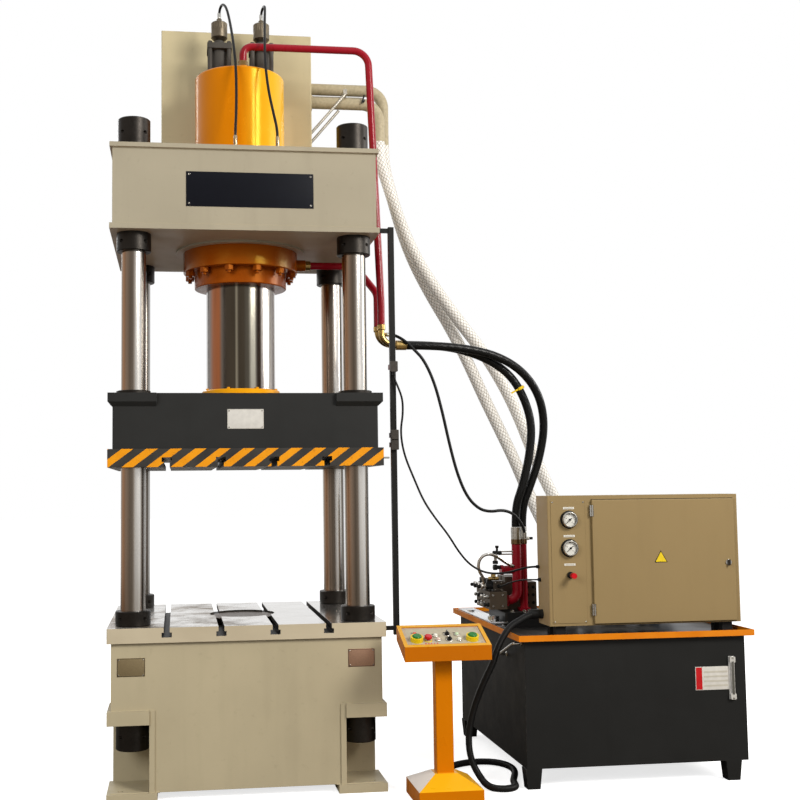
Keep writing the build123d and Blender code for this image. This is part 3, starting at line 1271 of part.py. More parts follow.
PREFILL_LEFT = [(-120, 80, 4541), (-120, 80, 4574), (-116, 68, 4602), (-106, 42, 4616),
                (-94, 10, 4606), (-80, -30, 4568), (-68, -84, 4492), (-56, -170, 4370),
                (-46, -256, 4232), (-38, -318, 4082), (-38, -358, 3924), (-42, -390, 3776),
                (-48, -414, 3690), (-48, -414, 3625)]
PREFILL_RIGHT = [(140, 80, 4541), (140, 80, 4574), (144, 68, 4602), (152, 42, 4616),
                 (158, 10, 4606), (156, -30, 4566), (150, -84, 4492), (142, -170, 4366),
                 (136, -256, 4228), (136, -318, 4082), (150, -356, 3934), (176, -386, 3790),
                 (194, -414, 3692), (194, -414, 3625)]
SENSOR_CABLE = [(858, -385, 2300), (858, -385, 2266), (880, -390, 2214), (906, -394, 2140),
                (906, -394, 2050), (892, -396, 1972), (896, -398, 1890), (918, -392, 1800),
                (968, -384, 1682), (1022, -376, 1556), (1096, -365, 1450), (1170, -350, 1360),
                (1232, -335, 1262), (1304, -320, 1180), (1396, -325, 1132), (1498, -360, 1132),
                (1560, -430, 1158), (1608, -480, 1176), (1649, -480, 1176)]
CONDUIT = [(1645, -520, 914), (1608, -520, 914), (1566, -541, 904), (1512, -576, 886),
           (1446, -610, 858), (1398, -622, 796), (1366, -618, 728), (1348, -604, 660),
           (1304, -570, 558), (1262, -512, 416), (1238, -472, 276), (1240, -456, 176),
           (1252, -470, 106), (1266, -510, 62), (1282, -574, 27), (1286, -640, 19.2),
           (1297, -711, 19.2), (1326, -739, 19.2), (1365, -750, 19.2), (1404, -739, 19.2),
           (1431, -711, 19.2), (1441, -672, 19.2), (1450, -600, 19.2), (1480, -516, 19.2),
           (1512, -430, 19.2), (1531, -336, 19.2), (1525, -250, 19.2), (1493, -180, 19.2),
           (1440, -138, 19.2), (1372, -126, 19.2), (1296, -142, 19.2), (1222, -186, 19.2),
           (1158, -250, 19.2), (1096, -346, 19.2), (1046, -452, 19.2), (1024, -528, 22),
           (1014, -580, 24.5), (1014, -619, 24.5)]


def corner_radii(points):
    """The arc at each corner: 0.45 of its shorter run over the tangent of half the turn."""
    radii = []
    for before, at, after in zip(points, points[1:], points[2:]):
        first = Vector(*at) - Vector(*before)
        second = Vector(*after) - Vector(*at)
        half_turn = math.radians(first.get_angle(second)) / 2
        radii.append(0.45 * min(first.length, second.length) / math.tan(half_turn))
    return radii


def cord(name, points, diameter):
    """A round cord along its route; prints its smallest radius and checks its volume."""
    radii = corner_radii(points)
    path = FilletPolyline(*points, radius=radii)
    solid = sweep(Plane(path @ 0, z_dir=path % 0) * Circle(diameter / 2), path=path)
    expected = math.pi * diameter**2 / 4 * path.length
    print(f"{name}: length {path.length:.0f}, smallest radius {min(radii) / diameter:.1f} diameters, "
          f"volume ratio {solid.volume / expected:.4f}")
    save(solid, name)


save(bed(), "bed")
save(table_plate(), "table_plate")
save(columns(), "columns")
save(column_nuts(), "column_nuts")
save(crosshead(), "crosshead")
save(cylinder_barrel(), "cylinder_barrel")
save(cylinder_gland(), "cylinder_gland")
save(shoulder_bolts(), "shoulder_bolts")
save(ejector_barrel(), "ejector_barrel")
save(fill_tank(), "fill_tank")
save(prefill_valves(), "prefill_valves")
save(pilot_heads(), "pilot_heads")
save(tank_pipes(), "tank_pipes")
save(pressure_pipes(), "pressure_pipes")
save(hose_fittings(), "hose_fittings")
save(limit_rail(), "limit_rail")
save(limit_switches(), "limit_switches")

save(slide(), "slide")
save(slide_plate(), "slide_plate")
save(guide_bushes(), "guide_bushes")
save(ram(), "ram")
save(ram_flange(), "ram_flange")
save(striker(), "striker")
save(ejector(), "ejector")

save(oil_tank(), "oil_tank")
save(drip_tray(), "drip_tray")
save(level_gauge(), "level_gauge")
save(cleanout_cover(), "cleanout_cover")
save(valve_manifold(), "valve_manifold")
save(solenoid_valves(), "solenoid_valves")
save(riser_pipes(), "riser_pipes")
save(motor(), "motor")
save(pump_unit(), "pump_unit")

save(cabinet(), "cabinet")
save(cabinet_backplate(), "cabinet_backplate")
save(cabinet_door(), "cabinet_door")
save(door_hinges(), "door_hinges")
save(door_lock(), "door_lock")
save(gauge_cases(), "gauge_cases")
save(gauge_needle(DIAL_Z[0]), "gauge_needle_upper")
save(gauge_needle(DIAL_Z[1]), "gauge_needle_lower")
save(regulator_knob(), "regulator_knob")

save(pedestal(), "pedestal")
save(console(), "console")
save(console_panel(), "console_panel")
save(two_hand_shrouds(), "two_hand_shrouds")
save(two_hand_button(TWO_HAND[0]), "two_hand_button_left")
save(two_hand_button(TWO_HAND[1]), "two_hand_button_right")
save(emergency_stop(), "emergency_stop")
save(selector(SELECTORS[0]), "selector_rear")
save(selector(SELECTORS[1]), "selector_front")

cord("pressure_hose_upper", UPPER_HOSE, HOSE_D)
cord("pressure_hose_lower", LOWER_HOSE, HOSE_D)
cord("pilot_hose", PILOT_HOSE, PILOT_HOSE_D)
cord("return_hose_front", RETURN_FRONT, RETURN_HOSE_D)
cord("return_hose_rear", RETURN_REAR, RETURN_HOSE_D)
cord("prefill_hose_left", PREFILL_LEFT, PREFILL_HOSE_D)
cord("prefill_hose_right", PREFILL_RIGHT, PREFILL_HOSE_D)
cord("sensor_cable", SENSOR_CABLE, SENSOR_D)
cord("control_conduit", CONDUIT, CONDUIT_D)
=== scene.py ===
"""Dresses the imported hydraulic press: camera, cords, materials, small parts, floor and lights."""
from itertools import accumulate, product
from math import atan2, cos, pi, radians, sin, sqrt

import bmesh
import bpy
from mathutils import Matrix, Vector


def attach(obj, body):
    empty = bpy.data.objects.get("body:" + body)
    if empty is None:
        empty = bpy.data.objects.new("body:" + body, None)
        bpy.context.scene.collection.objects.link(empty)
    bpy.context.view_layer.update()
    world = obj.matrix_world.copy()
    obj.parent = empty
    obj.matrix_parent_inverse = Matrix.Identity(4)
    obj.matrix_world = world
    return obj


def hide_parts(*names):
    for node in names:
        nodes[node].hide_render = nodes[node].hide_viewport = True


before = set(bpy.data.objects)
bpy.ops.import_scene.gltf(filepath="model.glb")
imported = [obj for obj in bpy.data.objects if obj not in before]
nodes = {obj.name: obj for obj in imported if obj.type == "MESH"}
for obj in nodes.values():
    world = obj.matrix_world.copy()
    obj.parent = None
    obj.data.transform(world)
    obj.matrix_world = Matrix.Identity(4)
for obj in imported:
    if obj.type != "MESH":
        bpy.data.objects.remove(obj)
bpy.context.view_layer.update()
MM = 0.001
shift = Matrix.Translation
FRONT, LEFT, RIGHT, UP = (0, -1, 0), (-1, 0, 0), (1, 0, 0), (0, 0, 1)


def placed(name, data):
    """A new object with this data, linked to the scene."""
    made = bpy.data.objects.new(name, data)
    bpy.context.scene.collection.objects.link(made)
    return made


# Camera, as fitted to the photograph
CAMERA_PLACE = (-0.3773, -6.8551, 1.6339)
YAW, PITCH, ROLL = 0.13261, 0.07684, -0.01077
FOCAL_PX = 1146.56
PHOTO_PX, AXIS_PX, SENSOR_MM = 800, 330, 36


def make_camera():
    data = bpy.data.cameras.new("camera")
    camera = placed("camera", data)
    forward = Vector((sin(YAW) * cos(PITCH), cos(YAW) * cos(PITCH), sin(PITCH)))
    level = Vector((cos(YAW), -sin(YAW), 0))
    above = level.cross(forward)
    right = level * cos(ROLL) + above * sin(ROLL)
    up = above * cos(ROLL) - level * sin(ROLL)
    turned = Matrix((right, up, -forward)).transposed().to_4x4()
    camera.matrix_world = shift(CAMERA_PLACE) @ turned
    data.sensor_width = SENSOR_MM
    data.lens = SENSOR_MM * FOCAL_PX / PHOTO_PX
    data.shift_x = 0.5 - AXIS_PX / PHOTO_PX
    data.clip_end = 200
    bpy.context.scene.camera = camera


make_camera()

# Shader helpers: colours given as tuples are screen colours, 0 to 255
VIEW_RIGHT = (0.9985, -0.0550)  # X and Y of the main view's right-hand way at the columns
SPECULAR, TINTED_SPECULAR = 0.16, 0.6
SHARP_EDGE = (0.985, 0.86)  # cosine of a face's turn to its rounded edge, on flats and on edges


def srgb(red, green, blue):
    """A screen colour as linear light."""
    parts = [value / 255 for value in (red, green, blue)]
    return [p / 12.92 if p <= 0.04045 else ((p + 0.055) / 1.055) ** 2.4 for p in parts] + [1]


def dimmed(tone, share):
    """A screen colour as linear light, cut to a share."""
    return [part * share for part in srgb(*tone)[:3]] + [1]


class Nodes:
    """A node tree under construction: add() makes a node and wires its inputs."""

    def __init__(self, owner):
        owner.use_nodes = True
        self.tree = owner.node_tree

    def add(self, kind, settings=None, **inputs):
        made = self.tree.nodes.new("ShaderNode" + kind)
        for key, value in (settings or {}).items():
            setattr(made, key, value)
        for key, value in inputs.items():
            socket = made.inputs[int(key[1:])] if key[1:].isdigit() else made.inputs[key.replace("_", " ")]
            self.wire(value, socket)
        return made

    def wire(self, value, socket):
        if isinstance(value, bpy.types.NodeSocket):
            self.tree.links.new(value, socket)
        else:
            socket.default_value = value

    def math(self, operation, a, b=0.0):
        return self.add("Math", {"operation": operation}, i0=a, i1=b).outputs[0]

    def times(self, a, b):
        return self.math("MULTIPLY", a, b)

    def ramp(self, value, low, high, to_low=0.0, to_high=1.0):
        return self.add("MapRange", i0=value, i1=low, i2=high, i3=to_low, i4=to_high).outputs[0]


class Shader(Nodes):
    """A material, with its Principled BSDF's inputs to put() values on."""

    def __init__(self, name, colour, rough, metal=0.0):
        self.mat = bpy.data.materials.new(name)
        super().__init__(self.mat)
        self.bsdf = self.tree.nodes["Principled BSDF"]
        self.place = self.add("TexCoord").outputs["Object"]
        self.put("Base Color", srgb(*colour))
        self.put("Roughness", rough)
        self.put("Metallic", metal)
        self.put("Specular IOR Level", SPECULAR)

    def put(self, socket, value):
        self.wire(value, self.bsdf.inputs[socket])

    def stretch(self, x, y, z):
        return self.add("Mapping", i0=self.place, i3=(x, y, z)).outputs[0]

    def noise(self, scale, detail, vector=None, rough=0.5):
        made = self.add("TexNoise", Scale=scale, Detail=detail, Roughness=rough)
        self.wire(vector or self.place, made.inputs["Vector"])
        return made.outputs["Fac"]

    def mix(self, share, first, second, kind="MIX"):
        made = self.add("Mix", {"data_type": "RGBA", "blend_type": kind})
        for value, place in ((share, 0), (first, 6), (second, 7)):
            self.wire(srgb(*value) if isinstance(value, tuple) else value, made.inputs[place])
        return made.outputs[2]

    def blend(self, share, first, second):
        """A number between two numbers."""
        return self.add("Mix", {"data_type": "FLOAT"}, i0=share, i2=first, i3=second).outputs[0]

    def mottle(self, first, second, scale, detail=4, low=0.3, high=0.7, vector=None):
        """Two tones in soft patches."""
        return self.mix(self.ramp(self.noise(scale, detail, vector), low, high), first, second)

    def darken(self, share, body, level):
        """The body cut to a level of its light where the share is 1."""
        return self.mix(share, body, self.mix(1.0, body, [level] * 3 + [1], "MULTIPLY"))

    def axis(self, name):
        return self.add("SeparateXYZ", i0=self.place).outputs["XYZ".index(name)]

    def facing(self, way, normal="True Normal"):
        """How far a face looks a given way."""
        made = self.add("NewGeometry").outputs[normal]
        return self.add("VectorMath", {"operation": "DOT_PRODUCT"}, i0=made, i1=way).outputs["Value"]

    def held(self, value, side, limit):
        """1 where a value, an axis' place or the way that a face looks is over or under a limit."""
        if isinstance(value, (str, tuple)):
            value = self.axis(value) if isinstance(value, str) else self.facing(value)
        return self.math("GREATER_THAN" if side == ">" else "LESS_THAN", value, limit)

    def beyond(self, *reach):
        """1 on the sides of a centred block of this reach in X and Y, 0 on what lies within them."""
        sides = [self.held(self.math("ABSOLUTE", self.axis(name)), ">", r) for name, r in zip("XY", reach)]
        return self.math("MAXIMUM", *sides)

    def across(self, round_bar):
        """Place across upright round bars, -1 at the left to 1 at the right in the main view, for painted
        light and painted reflections.
        round_bar is (half the gap between bars in X, in Y, radius), with gaps of 0 for a bar on the axis."""
        *gaps, radius = round_bar
        total = 0.0
        for name, gap, share in zip("XY", gaps, VIEW_RIGHT):
            level = self.axis(name)
            if gap:
                level = self.math("SUBTRACT", level, self.times(self.math("SIGN", level), gap))
            total = self.math("ADD", total, self.times(level, share / radius))
        return total

    def bands(self, value, stops):
        """Tones side by side along a value from 0 to 1: stops are (place, tone)."""
        made = self.add("ValToRGB", i0=value)
        ramp = made.color_ramp
        for place, tone in stops[1:-1]:
            ramp.elements.new(place)
        for element, (place, tone) in zip(ramp.elements, stops):
            element.position = place
            element.color = srgb(*tone)
        return made.outputs[0]

    def rounded(self, radius):
        return self.add("Bevel", {"samples": 4}, Radius=radius).outputs[0]

    def edges(self, radius):
        """1 on sharp edges, 0 on flats."""
        return self.ramp(self.facing(self.rounded(radius), "Normal"), *SHARP_EDGE)

    def relief(self, height, strength, distance, bevel=0.0):
        """Bump from a height, over edges rounded by a bevel radius."""
        made = self.add("Bump", Strength=strength, Distance=distance, Height=height)
        if bevel:
            self.wire(self.rounded(bevel), made.inputs["Normal"])
        self.put("Normal", made.outputs[0])


def paint(name, colour, rough, shade=0.90, bevel=0.003, dirt=0.0, coat=0.0, wear=None, peel=0.25,
          zones=(), tint=None, lit=None):
    """Sprayed paint: slow drift in tone, orange peel, soft edges, grime, worn edges and zones.
    A zone is (value, side, limit, colour), where the value is an axis or a way that faces may look;
    the zones that go by the way faces look are painted light and painted shade.
    lit = (round_bar, colour) is painted light: the tone that round bars turn to at the right."""
    s = Shader(name, colour, rough)
    body = s.mottle(colour, dimmed(colour, shade), 1.7, 4, 0.35, 0.68)
    # Painted light: round bars turn to the lit tone towards their right.
    if lit:
        round_bar, other = lit
        body = s.mix(s.ramp(s.across(round_bar), 0.0, 0.9), body, other)
    # Zones: tones by place and by facing; the facing ones are painted light and painted shade.
    for value, side, limit, other in zones:
        body = s.mix(s.held(value, side, limit), body, other)
    streaks = s.ramp(s.noise(3.0, 5, s.stretch(3, 3, 0.35)), 0.52, 0.72, 0, 0.35)
    body = s.darken(streaks, body, shade - 0.06)
    if dirt:
        body = s.darken(s.ramp(s.noise(26, 6, rough=0.7), 0.60, 0.74, 0, dirt), body, 0.42)
    if wear:
        chips = s.times(s.edges(0.004), s.ramp(s.noise(42, 4), 0.50, 0.62))
        body = s.mix(s.times(chips, 0.7), body, wear)
    s.put("Base Color", body)
    s.put("Roughness", s.ramp(s.noise(9, 3), 0.3, 0.7, rough - 0.05, rough + 0.08))
    if tint:
        s.put("Specular Tint", srgb(*tint))
        s.put("Specular IOR Level", TINTED_SPECULAR)
    s.put("Coat Weight", coat)
    s.put("Coat Roughness", 0.12)
    wave = s.math("ADD", s.noise(420, 2), s.times(s.noise(6, 2), 2.0))
    s.relief(wave, peel, 0.0006, bevel)
    return s.mat


def metal(name, colour, rough, grain=(1, 1, 1), stain=None, share=0.4, fine=160, round_bar=None, stops=()):
    """Bare metal with a directional grain and, if asked, stains. Round bars may carry painted reflection
    bands, as stops of (place from -1 to 1, colour)."""
    s = Shader(name, colour, rough, 1.0)
    lines = s.noise(fine, 4, s.stretch(*grain))
    body = s.mix(s.ramp(lines, 0.3, 0.7), dimmed(colour, 0.82), colour)
    # Painted reflections: bands of tone across round bars, multiplied into the colour.
    if stops:
        level = s.ramp(s.across(round_bar), -1, 1)
        bands = s.bands(level, [((place + 1) / 2, tone) for place, tone in stops])
        body = s.mix(1.0, body, bands, "MULTIPLY")
    if stain:
        body = s.mix(s.ramp(s.noise(5, 6, rough=0.65), 0.50, 0.70, 0, share), body, stain)
    s.put("Base Color", body)
    s.put("Roughness", s.ramp(lines, 0.25, 0.75, rough * 0.75, rough * 1.3))
    s.relief(lines, 0.02 if stops else 0.08, 0.0004, 0.0015)
    return s.mat


def plastic(name, colour, rough, coat=0.0, bevel=0.0008, glow=0.0):
    s = Shader(name, colour, rough)
    s.put("Base Color", s.mottle(dimmed(colour, 0.86), colour, 30, 3))
    s.put("Coat Weight", coat)
    if glow:
        s.put("Emission Color", srgb(*colour))
        s.put("Emission Strength", glow)
    s.relief(s.noise(500, 2), 0.12, 0.0003, bevel)
    return s.mat


PRESS_BEIGE = (183, 170, 140)
CABINET_TAN = (148, 126, 86)
# SHADED_BURNT_ORANGE: a redder paint, darkened as painted shade under the crosshead.
SHADED_BURNT_ORANGE = (160, 74, 12)
CONSOLE_ORANGE = (214, 118, 2)
GOLD_SHEEN = (255, 214, 60)
CHARCOAL = (43, 43, 42)

# Places in metres: round bars, the slide's plate with its stripes, the table and the tray
CYLINDER_BAR, RAM_BAR, COLUMN_BARS = (0, 0, 0.27), (0, 0, 0.205), (0.617, 0.480, 0.0675)
STRIPE_LEAN, STRIPE_PITCH, STRIPE_START, STRIPE_WIDTH = 1.33, 0.1304, 0.415, 0.0615
PLATE_BOTTOM, PLATE_REACH = 1.757, (0.7495, 0.6245)
TABLE_TOP, TABLE_REACH = 0.9035, (0.7465, 0.6245)
TRAY_BOTTOM, TRAY_DECK, TRAY_RIM = 0.7935, 0.81, 0.8255
TRAY_INSIDE = (("X", ">", 1.458), ("X", "<", 2.797), ("Y", ">", -0.757), ("Y", "<", 0.731))


def hazard_material():
    """Yellow stripes on the plate's sides that lean right going up, on a machined underside."""
    s = Shader("hazard_stripes", CHARCOAL, 0.4)
    along = s.math("ADD", s.axis("X"), STRIPE_START)
    side = s.math("ADD", s.axis("Y"), STRIPE_START)
    run = s.blend(s.held(s.math("ABSOLUTE", s.facing(RIGHT)), ">", 0.7), along, side)
    lift = s.times(s.math("SUBTRACT", s.axis("Z"), PLATE_BOTTOM), STRIPE_LEAN)
    waver = s.times(s.math("SUBTRACT", s.noise(14, 2), 0.5), 0.004)
    phase = s.math("FLOORED_MODULO", s.math("ADD", s.math("SUBTRACT", run, lift), waver), STRIPE_PITCH)
    worn = s.ramp(s.noise(60, 5), 0.62, 0.72, 0, 0.55)
    yellow = s.mix(worn, s.mottle((226, 142, 12), (240, 158, 20), 8), (150, 96, 22))
    dark = s.mottle((50, 48, 46), (64, 61, 57), 12)
    painted = s.mix(s.held(phase, "<", STRIPE_WIDTH), dark, yellow)
    outer = s.beyond(*PLATE_REACH)
    bare = s.mottle((60, 56, 50), (104, 98, 90), 70, vector=s.stretch(1, 0.05, 1))
    s.put("Base Color", s.mix(outer, bare, painted))
    s.put("Metallic", s.math("SUBTRACT", 1.0, outer))
    s.relief(s.noise(300, 2), 0.2, 0.0004, 0.003)
    return s.mat


def table_material():
    """The table: ground steel on top with worn brown marks, paint on its edges, dark slots."""
    s = Shader("table_plate", PRESS_BEIGE, 0.3)
    top = s.times(s.held(UP, ">", 0.7), s.held("Z", ">", TABLE_TOP))
    grain = s.noise(90, 4, s.stretch(0.06, 1, 1))
    steel = s.mix(s.ramp(grain, 0.3, 0.7), (218, 214, 208), (242, 240, 237))
    marks = s.times(s.ramp(s.noise(2.6, 7, rough=0.68), 0.42, 0.60),
                   s.ramp(s.axis("X"), 0.2, -0.1, 0.06, 1))
    steel = s.mix(s.times(marks, 0.92), steel, (112, 96, 76))
    slot = s.mottle((34, 32, 30), (66, 62, 56), 40, 3)
    drift = s.mottle((198, 185, 158), (182, 168, 142), 2)
    s.put("Base Color", s.mix(top, s.mix(s.beyond(*TABLE_REACH), slot, drift), steel))
    s.put("Metallic", s.blend(top, 0.0, s.ramp(s.axis("X"), -0.3, 0.3, 0.75, 0.95)))
    s.put("Roughness", s.blend(top, 0.45, s.ramp(marks, 0, 1, 0.14, 0.42)))
    s.relief(grain, 0.12, 0.0004, 0.003)
    return s.mat


def tray_material():
    """Orange on the folded rim, oily black on the deck inside it, and the same dark tone under it."""
    s = Shader("tray", CONSOLE_ORANGE, 0.35)
    deck = s.times(s.held(UP, ">", 0.7), s.held("Z", "<", TRAY_DECK))
    within = s.held("Z", "<", TRAY_RIM)
    for limit in TRAY_INSIDE:
        within = s.times(within, s.held(*limit))
    dark = s.math("MAXIMUM", s.math("MAXIMUM", deck, within), s.held("Z", "<", TRAY_BOTTOM))
    oil = s.ramp(s.noise(3, 5), 0.42, 0.6)
    rim = s.mottle(CONSOLE_ORANGE, (226, 134, 14), 7, 4, 0.35, 0.7)
    s.put("Base Color", s.mix(dark, rim, s.mix(oil, (30, 29, 28), (62, 58, 52))))
    s.put("Roughness", s.ramp(oil, 0, 1, 0.34, 0.55))
    s.relief(s.noise(5, 4), 0.3, 0.004, 0.0015)
    return s.mat


def zoned(name, colour, metallic, rough, zones):
    """One material with a tone per zone: each zone is (axis, side, limit, colour, metallic)."""
    s = Shader(name, colour, rough)
    for *limit, tone, bare in zones:
        held = s.held(*limit)
        colour = s.mix(held, colour, tone)
        metallic = s.blend(held, metallic, bare)
    drift = s.ramp(s.noise(60, 4), 0.3, 0.7, 0.8, 1.05)
    speckle = s.add("CombineColor", i0=drift, i1=drift, i2=drift).outputs[0]
    s.put("Base Color", s.mix(1.0, colour, speckle, "MULTIPLY"))
    s.put("Metallic", metallic)
    s.relief(s.noise(240, 3), 0.15, 0.0004, 0.001)
    return s.mat


def braid_material(name, tone, thread, edge, strands, pitch, gloss, painted_outline_share, glow):
    """A hose with its woven threads showing: UV runs round and along it, and its outline turns to edge,
    a painted outline shade; glow is painted light, so that the hose does not shade dark.
    """
    s = Shader(name, tone, 0.24)
    split = s.add("SeparateXYZ", i0=s.add("TexCoord").outputs["UV"])
    around, along = split.outputs[0], s.math("DIVIDE", split.outputs[1], pitch)
    lines = 0.0
    for turn in (1, -1):
        angle = s.math("ADD", s.times(around, strands * turn), along)
        wave = s.math("ABSOLUTE", s.math("SINE", s.times(angle, pi)))
        lines = s.math("MAXIMUM", lines, s.ramp(wave, 0.30, 0.12))
    body = s.mix(lines, s.mottle(tone, dimmed(tone, 0.93), 9, 4, 0.35, 0.7), thread)
    # Painted shade: the outline, where faces turn away from the view, darkens to the edge tone.
    turned_away = s.add("LayerWeight", Blend=0.5).outputs["Facing"]
    body = s.mix(s.ramp(turned_away, 0.66, 0.96, 0, painted_outline_share), body, edge)
    s.put("Base Color", body)
    # Painted light: the hose glows with its own colour.
    s.put("Emission Color", body)
    s.put("Emission Strength", glow)
    s.put("Coat Weight", gloss)
    s.put("Coat Roughness", 0.1)
    s.relief(lines, 0.4, 0.0008)
    return s.mat


def finish(material, *names):
    """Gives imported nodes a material."""
    for name in names:
        mesh = nodes[name].data
        mesh.materials.clear()
        mesh.materials.append(material)
    return material


# Materials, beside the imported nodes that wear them
beige = finish(paint("press_beige", PRESS_BEIGE, 0.45, dirt=0.16), "bed")
# Painted light: the crosshead's downward faces carry a lighter tone than the rest.
finish(paint("crosshead_beige", (169, 159, 137), 0.45, dirt=0.16, zones=[(UP, "<", -0.7, (186, 166, 144))]),
       "crosshead")
finish(paint("fill_tank_beige", (204, 190, 152), 0.45, dirt=0.16), "fill_tank")
# Painted shade: below 3.05 m the shoulder takes the darker burnt orange. Painted light: the barrel turns to
# bright gold towards its right.
finish(paint("cylinder_orange", (216, 122, 2), 0.20, 0.92, coat=0.04, peel=0.12, tint=GOLD_SHEEN,
             zones=[("Z", "<", 3.05, SHADED_BURNT_ORANGE)], lit=(CYLINDER_BAR, (246, 186, 26))), "cylinder_barrel")
# The gland and shoulder bolts: a redder burnt orange, darkened as painted shade under the crosshead.
finish(paint("shoulder_orange", SHADED_BURNT_ORANGE, 0.24, 0.86, peel=0.1, tint=(236, 150, 60)),
       "cylinder_gland", "shoulder_bolts")
finish(paint("flange_orange", (248, 166, 20), 0.30, 0.94, peel=0.1, tint=GOLD_SHEEN), "ram_flange")
# Painted light: upward faces take a lighter yellow, and faces turned up and to the left take a near-white
# painted highlight.
finish(paint("stand_orange", CONSOLE_ORANGE, 0.30, 0.94, coat=0.03, peel=0.2, tint=GOLD_SHEEN,
             zones=[(UP, ">", 0.3, (242, 176, 20)), ((-1, 0, 1), ">", 1.2, (250, 240, 232))]), "pedestal")
# Painted light: upward faces take a lighter yellow.
finish(paint("console_orange", (194, 102, 8), 0.30, 0.94, coat=0.03, peel=0.2, tint=GOLD_SHEEN,
             zones=[(UP, ">", 0.3, (222, 160, 34))]), "console")
finish(paint("slide_charcoal", CHARCOAL, 0.42, 0.88, peel=0.3), "slide")
# Painted shade: faces turned left are darker.
finish(paint("tank_black", (30, 30, 29), 0.50, 0.80, dirt=0.05, wear=(96, 92, 86),
             zones=[(LEFT, ">", 0.7, (19, 19, 19))]), "oil_tank")
black = finish(paint("fitting_black", (32, 32, 31), 0.36, 0.80), "ejector_barrel", "limit_rail")
finish(paint("pipe_red", (150, 12, 30), 0.24, 0.80, coat=0.25, peel=0.1), "pressure_pipes", "riser_pipes")
# Painted shade on the faces turned right and down, painted light on the faces turned up.
finish(paint("door_tan", CABINET_TAN, 0.46, 0.95, bevel=0.002, peel=0.5,
             zones=[(RIGHT, ">", 0.7, (96, 80, 52)), (UP, "<", -0.7, (84, 70, 46)),
                    (UP, ">", 0.7, (176, 156, 112))]), "cabinet_door")
# Painted light: faces turned left are lighter.
finish(paint("cabinet_tan", CABINET_TAN, 0.46, 0.95, bevel=0.002, peel=0.5,
             zones=[(LEFT, ">", 0.7, (170, 144, 104)), ("Z", "<", 0.8575, (30, 29, 28)),
                    ("X", "<", 1.6648, (34, 33, 32))]), "cabinet")
finish(paint("block_brown", (92, 80, 66), 0.4, 0.7, dirt=0.3, peel=0.5,
             zones=[("Z", "<", 0.888, (34, 33, 32))]), "valve_manifold")
finish(paint("cast_grey", (84, 80, 74), 0.5, 0.72, dirt=0.3, peel=0.8), "prefill_valves", "pump_unit")
finish(paint("motor_blue", (52, 84, 112), 0.4, 0.85, dirt=0.1), "motor")
# Painted reflections: the columns' bands of tone across each bar.
finish(metal("chrome", (232, 230, 226), 0.20, (1, 1, 0.04), fine=40, round_bar=COLUMN_BARS, stops=[
    (-1, (222, 218, 212)), (-0.92, (166, 144, 126)), (-0.76, (198, 154, 120)), (-0.52, (172, 154, 140)),
    (-0.20, (138, 128, 118)), (0.02, (166, 158, 150)), (0.16, (226, 222, 218)), (0.60, (242, 240, 238)),
    (0.72, (150, 142, 134)), (0.85, (92, 86, 80)), (0.93, (206, 204, 202)), (1, (120, 112, 106))]),
       "columns")
# Painted reflections: the ram's bands of tone across it.
finish(metal("ram_chrome", (236, 234, 230), 0.16, (1, 1, 0.05), fine=34, round_bar=RAM_BAR, stops=[
    (-1, (226, 226, 228)), (-0.90, (150, 142, 138)), (-0.78, (196, 128, 92)), (-0.62, (204, 132, 92)),
    (-0.54, (138, 132, 128)), (-0.40, (92, 86, 78)), (-0.17, (100, 94, 84)), (-0.12, (206, 204, 190)),
    (-0.06, (104, 98, 88)), (0.22, (96, 90, 80)), (0.30, (182, 178, 166)), (0.40, (176, 172, 160)),
    (0.46, (84, 76, 70)), (0.56, (96, 86, 80)), (0.62, (240, 232, 228)), (0.84, (236, 230, 226)),
    (0.92, (130, 120, 116)), (1, (240, 240, 242))]), "ram")
bright = metal("bright_steel", (226, 222, 216), 0.16, fine=90)
zinc = finish(metal("zinc", (188, 186, 180), 0.26, fine=90, stain=(120, 112, 98), share=0.3),
              "striker", "door_hinges", "gauge_cases")
lid_white = finish(metal("lid_silver", (240, 242, 244), 0.16, fine=30), "cleanout_cover")
finish(metal("pilot_metal", (120, 110, 94), 0.42, fine=60, stain=(66, 60, 52), share=0.6), "pilot_heads")
finish(metal("ejector_steel", (92, 80, 70), 0.4, fine=60, stain=(60, 44, 34)), "ejector")
finish(metal("black_oxide", (54, 51, 48), 0.40, fine=120, stain=(32, 30, 28), share=0.6),
       "column_nuts", "guide_bushes")
brass = metal("brass", (188, 158, 98), 0.24, fine=80, stain=(120, 84, 44))
bronze = metal("ferrule_bronze", (172, 154, 124), 0.25, (1, 1, 0.1), fine=60, stain=(110, 84, 52))
rubber = plastic("hose_rubber", (27, 27, 27), 0.36, bevel=0)
black_plastic = finish(plastic("black_plastic", (24, 24, 24), 0.34), "selector_rear", "selector_front")
white_plate = plastic("plate_white", (214, 210, 202), 0.4)
label_grey = finish(plastic("label_grey", (196, 190, 176), 0.5), "cabinet_backplate")
label_white = plastic("dial_white", (236, 234, 226), 0.5)
ink = finish(plastic("dial_ink", (18, 18, 18), 0.6), "gauge_needle_upper", "gauge_needle_lower")
finish(plastic("button_green", (30, 118, 44), 0.28, 0.4), "two_hand_button_left", "two_hand_button_right")
stop_red = finish(plastic("button_red", (196, 18, 26), 0.26, 0.5), "emergency_stop")
finish(plastic("panel_silver", (188, 178, 155), 0.45), "console_panel")
shroud_yellow = finish(plastic("shroud_yellow", (238, 204, 20), 0.3, 0.4), "two_hand_shrouds")
lens_red = plastic("lens_red", (214, 44, 40), 0.18, 0.6, glow=0.12)
lens_pink = plastic("lens_pale", (222, 196, 180), 0.2, 0.6, glow=0.05)
lens_white = plastic("lens_white", (236, 232, 216), 0.2, 0.6, glow=0.05)
lens_green = plastic("lens_green", (196, 214, 176), 0.2, 0.6, glow=0.05)
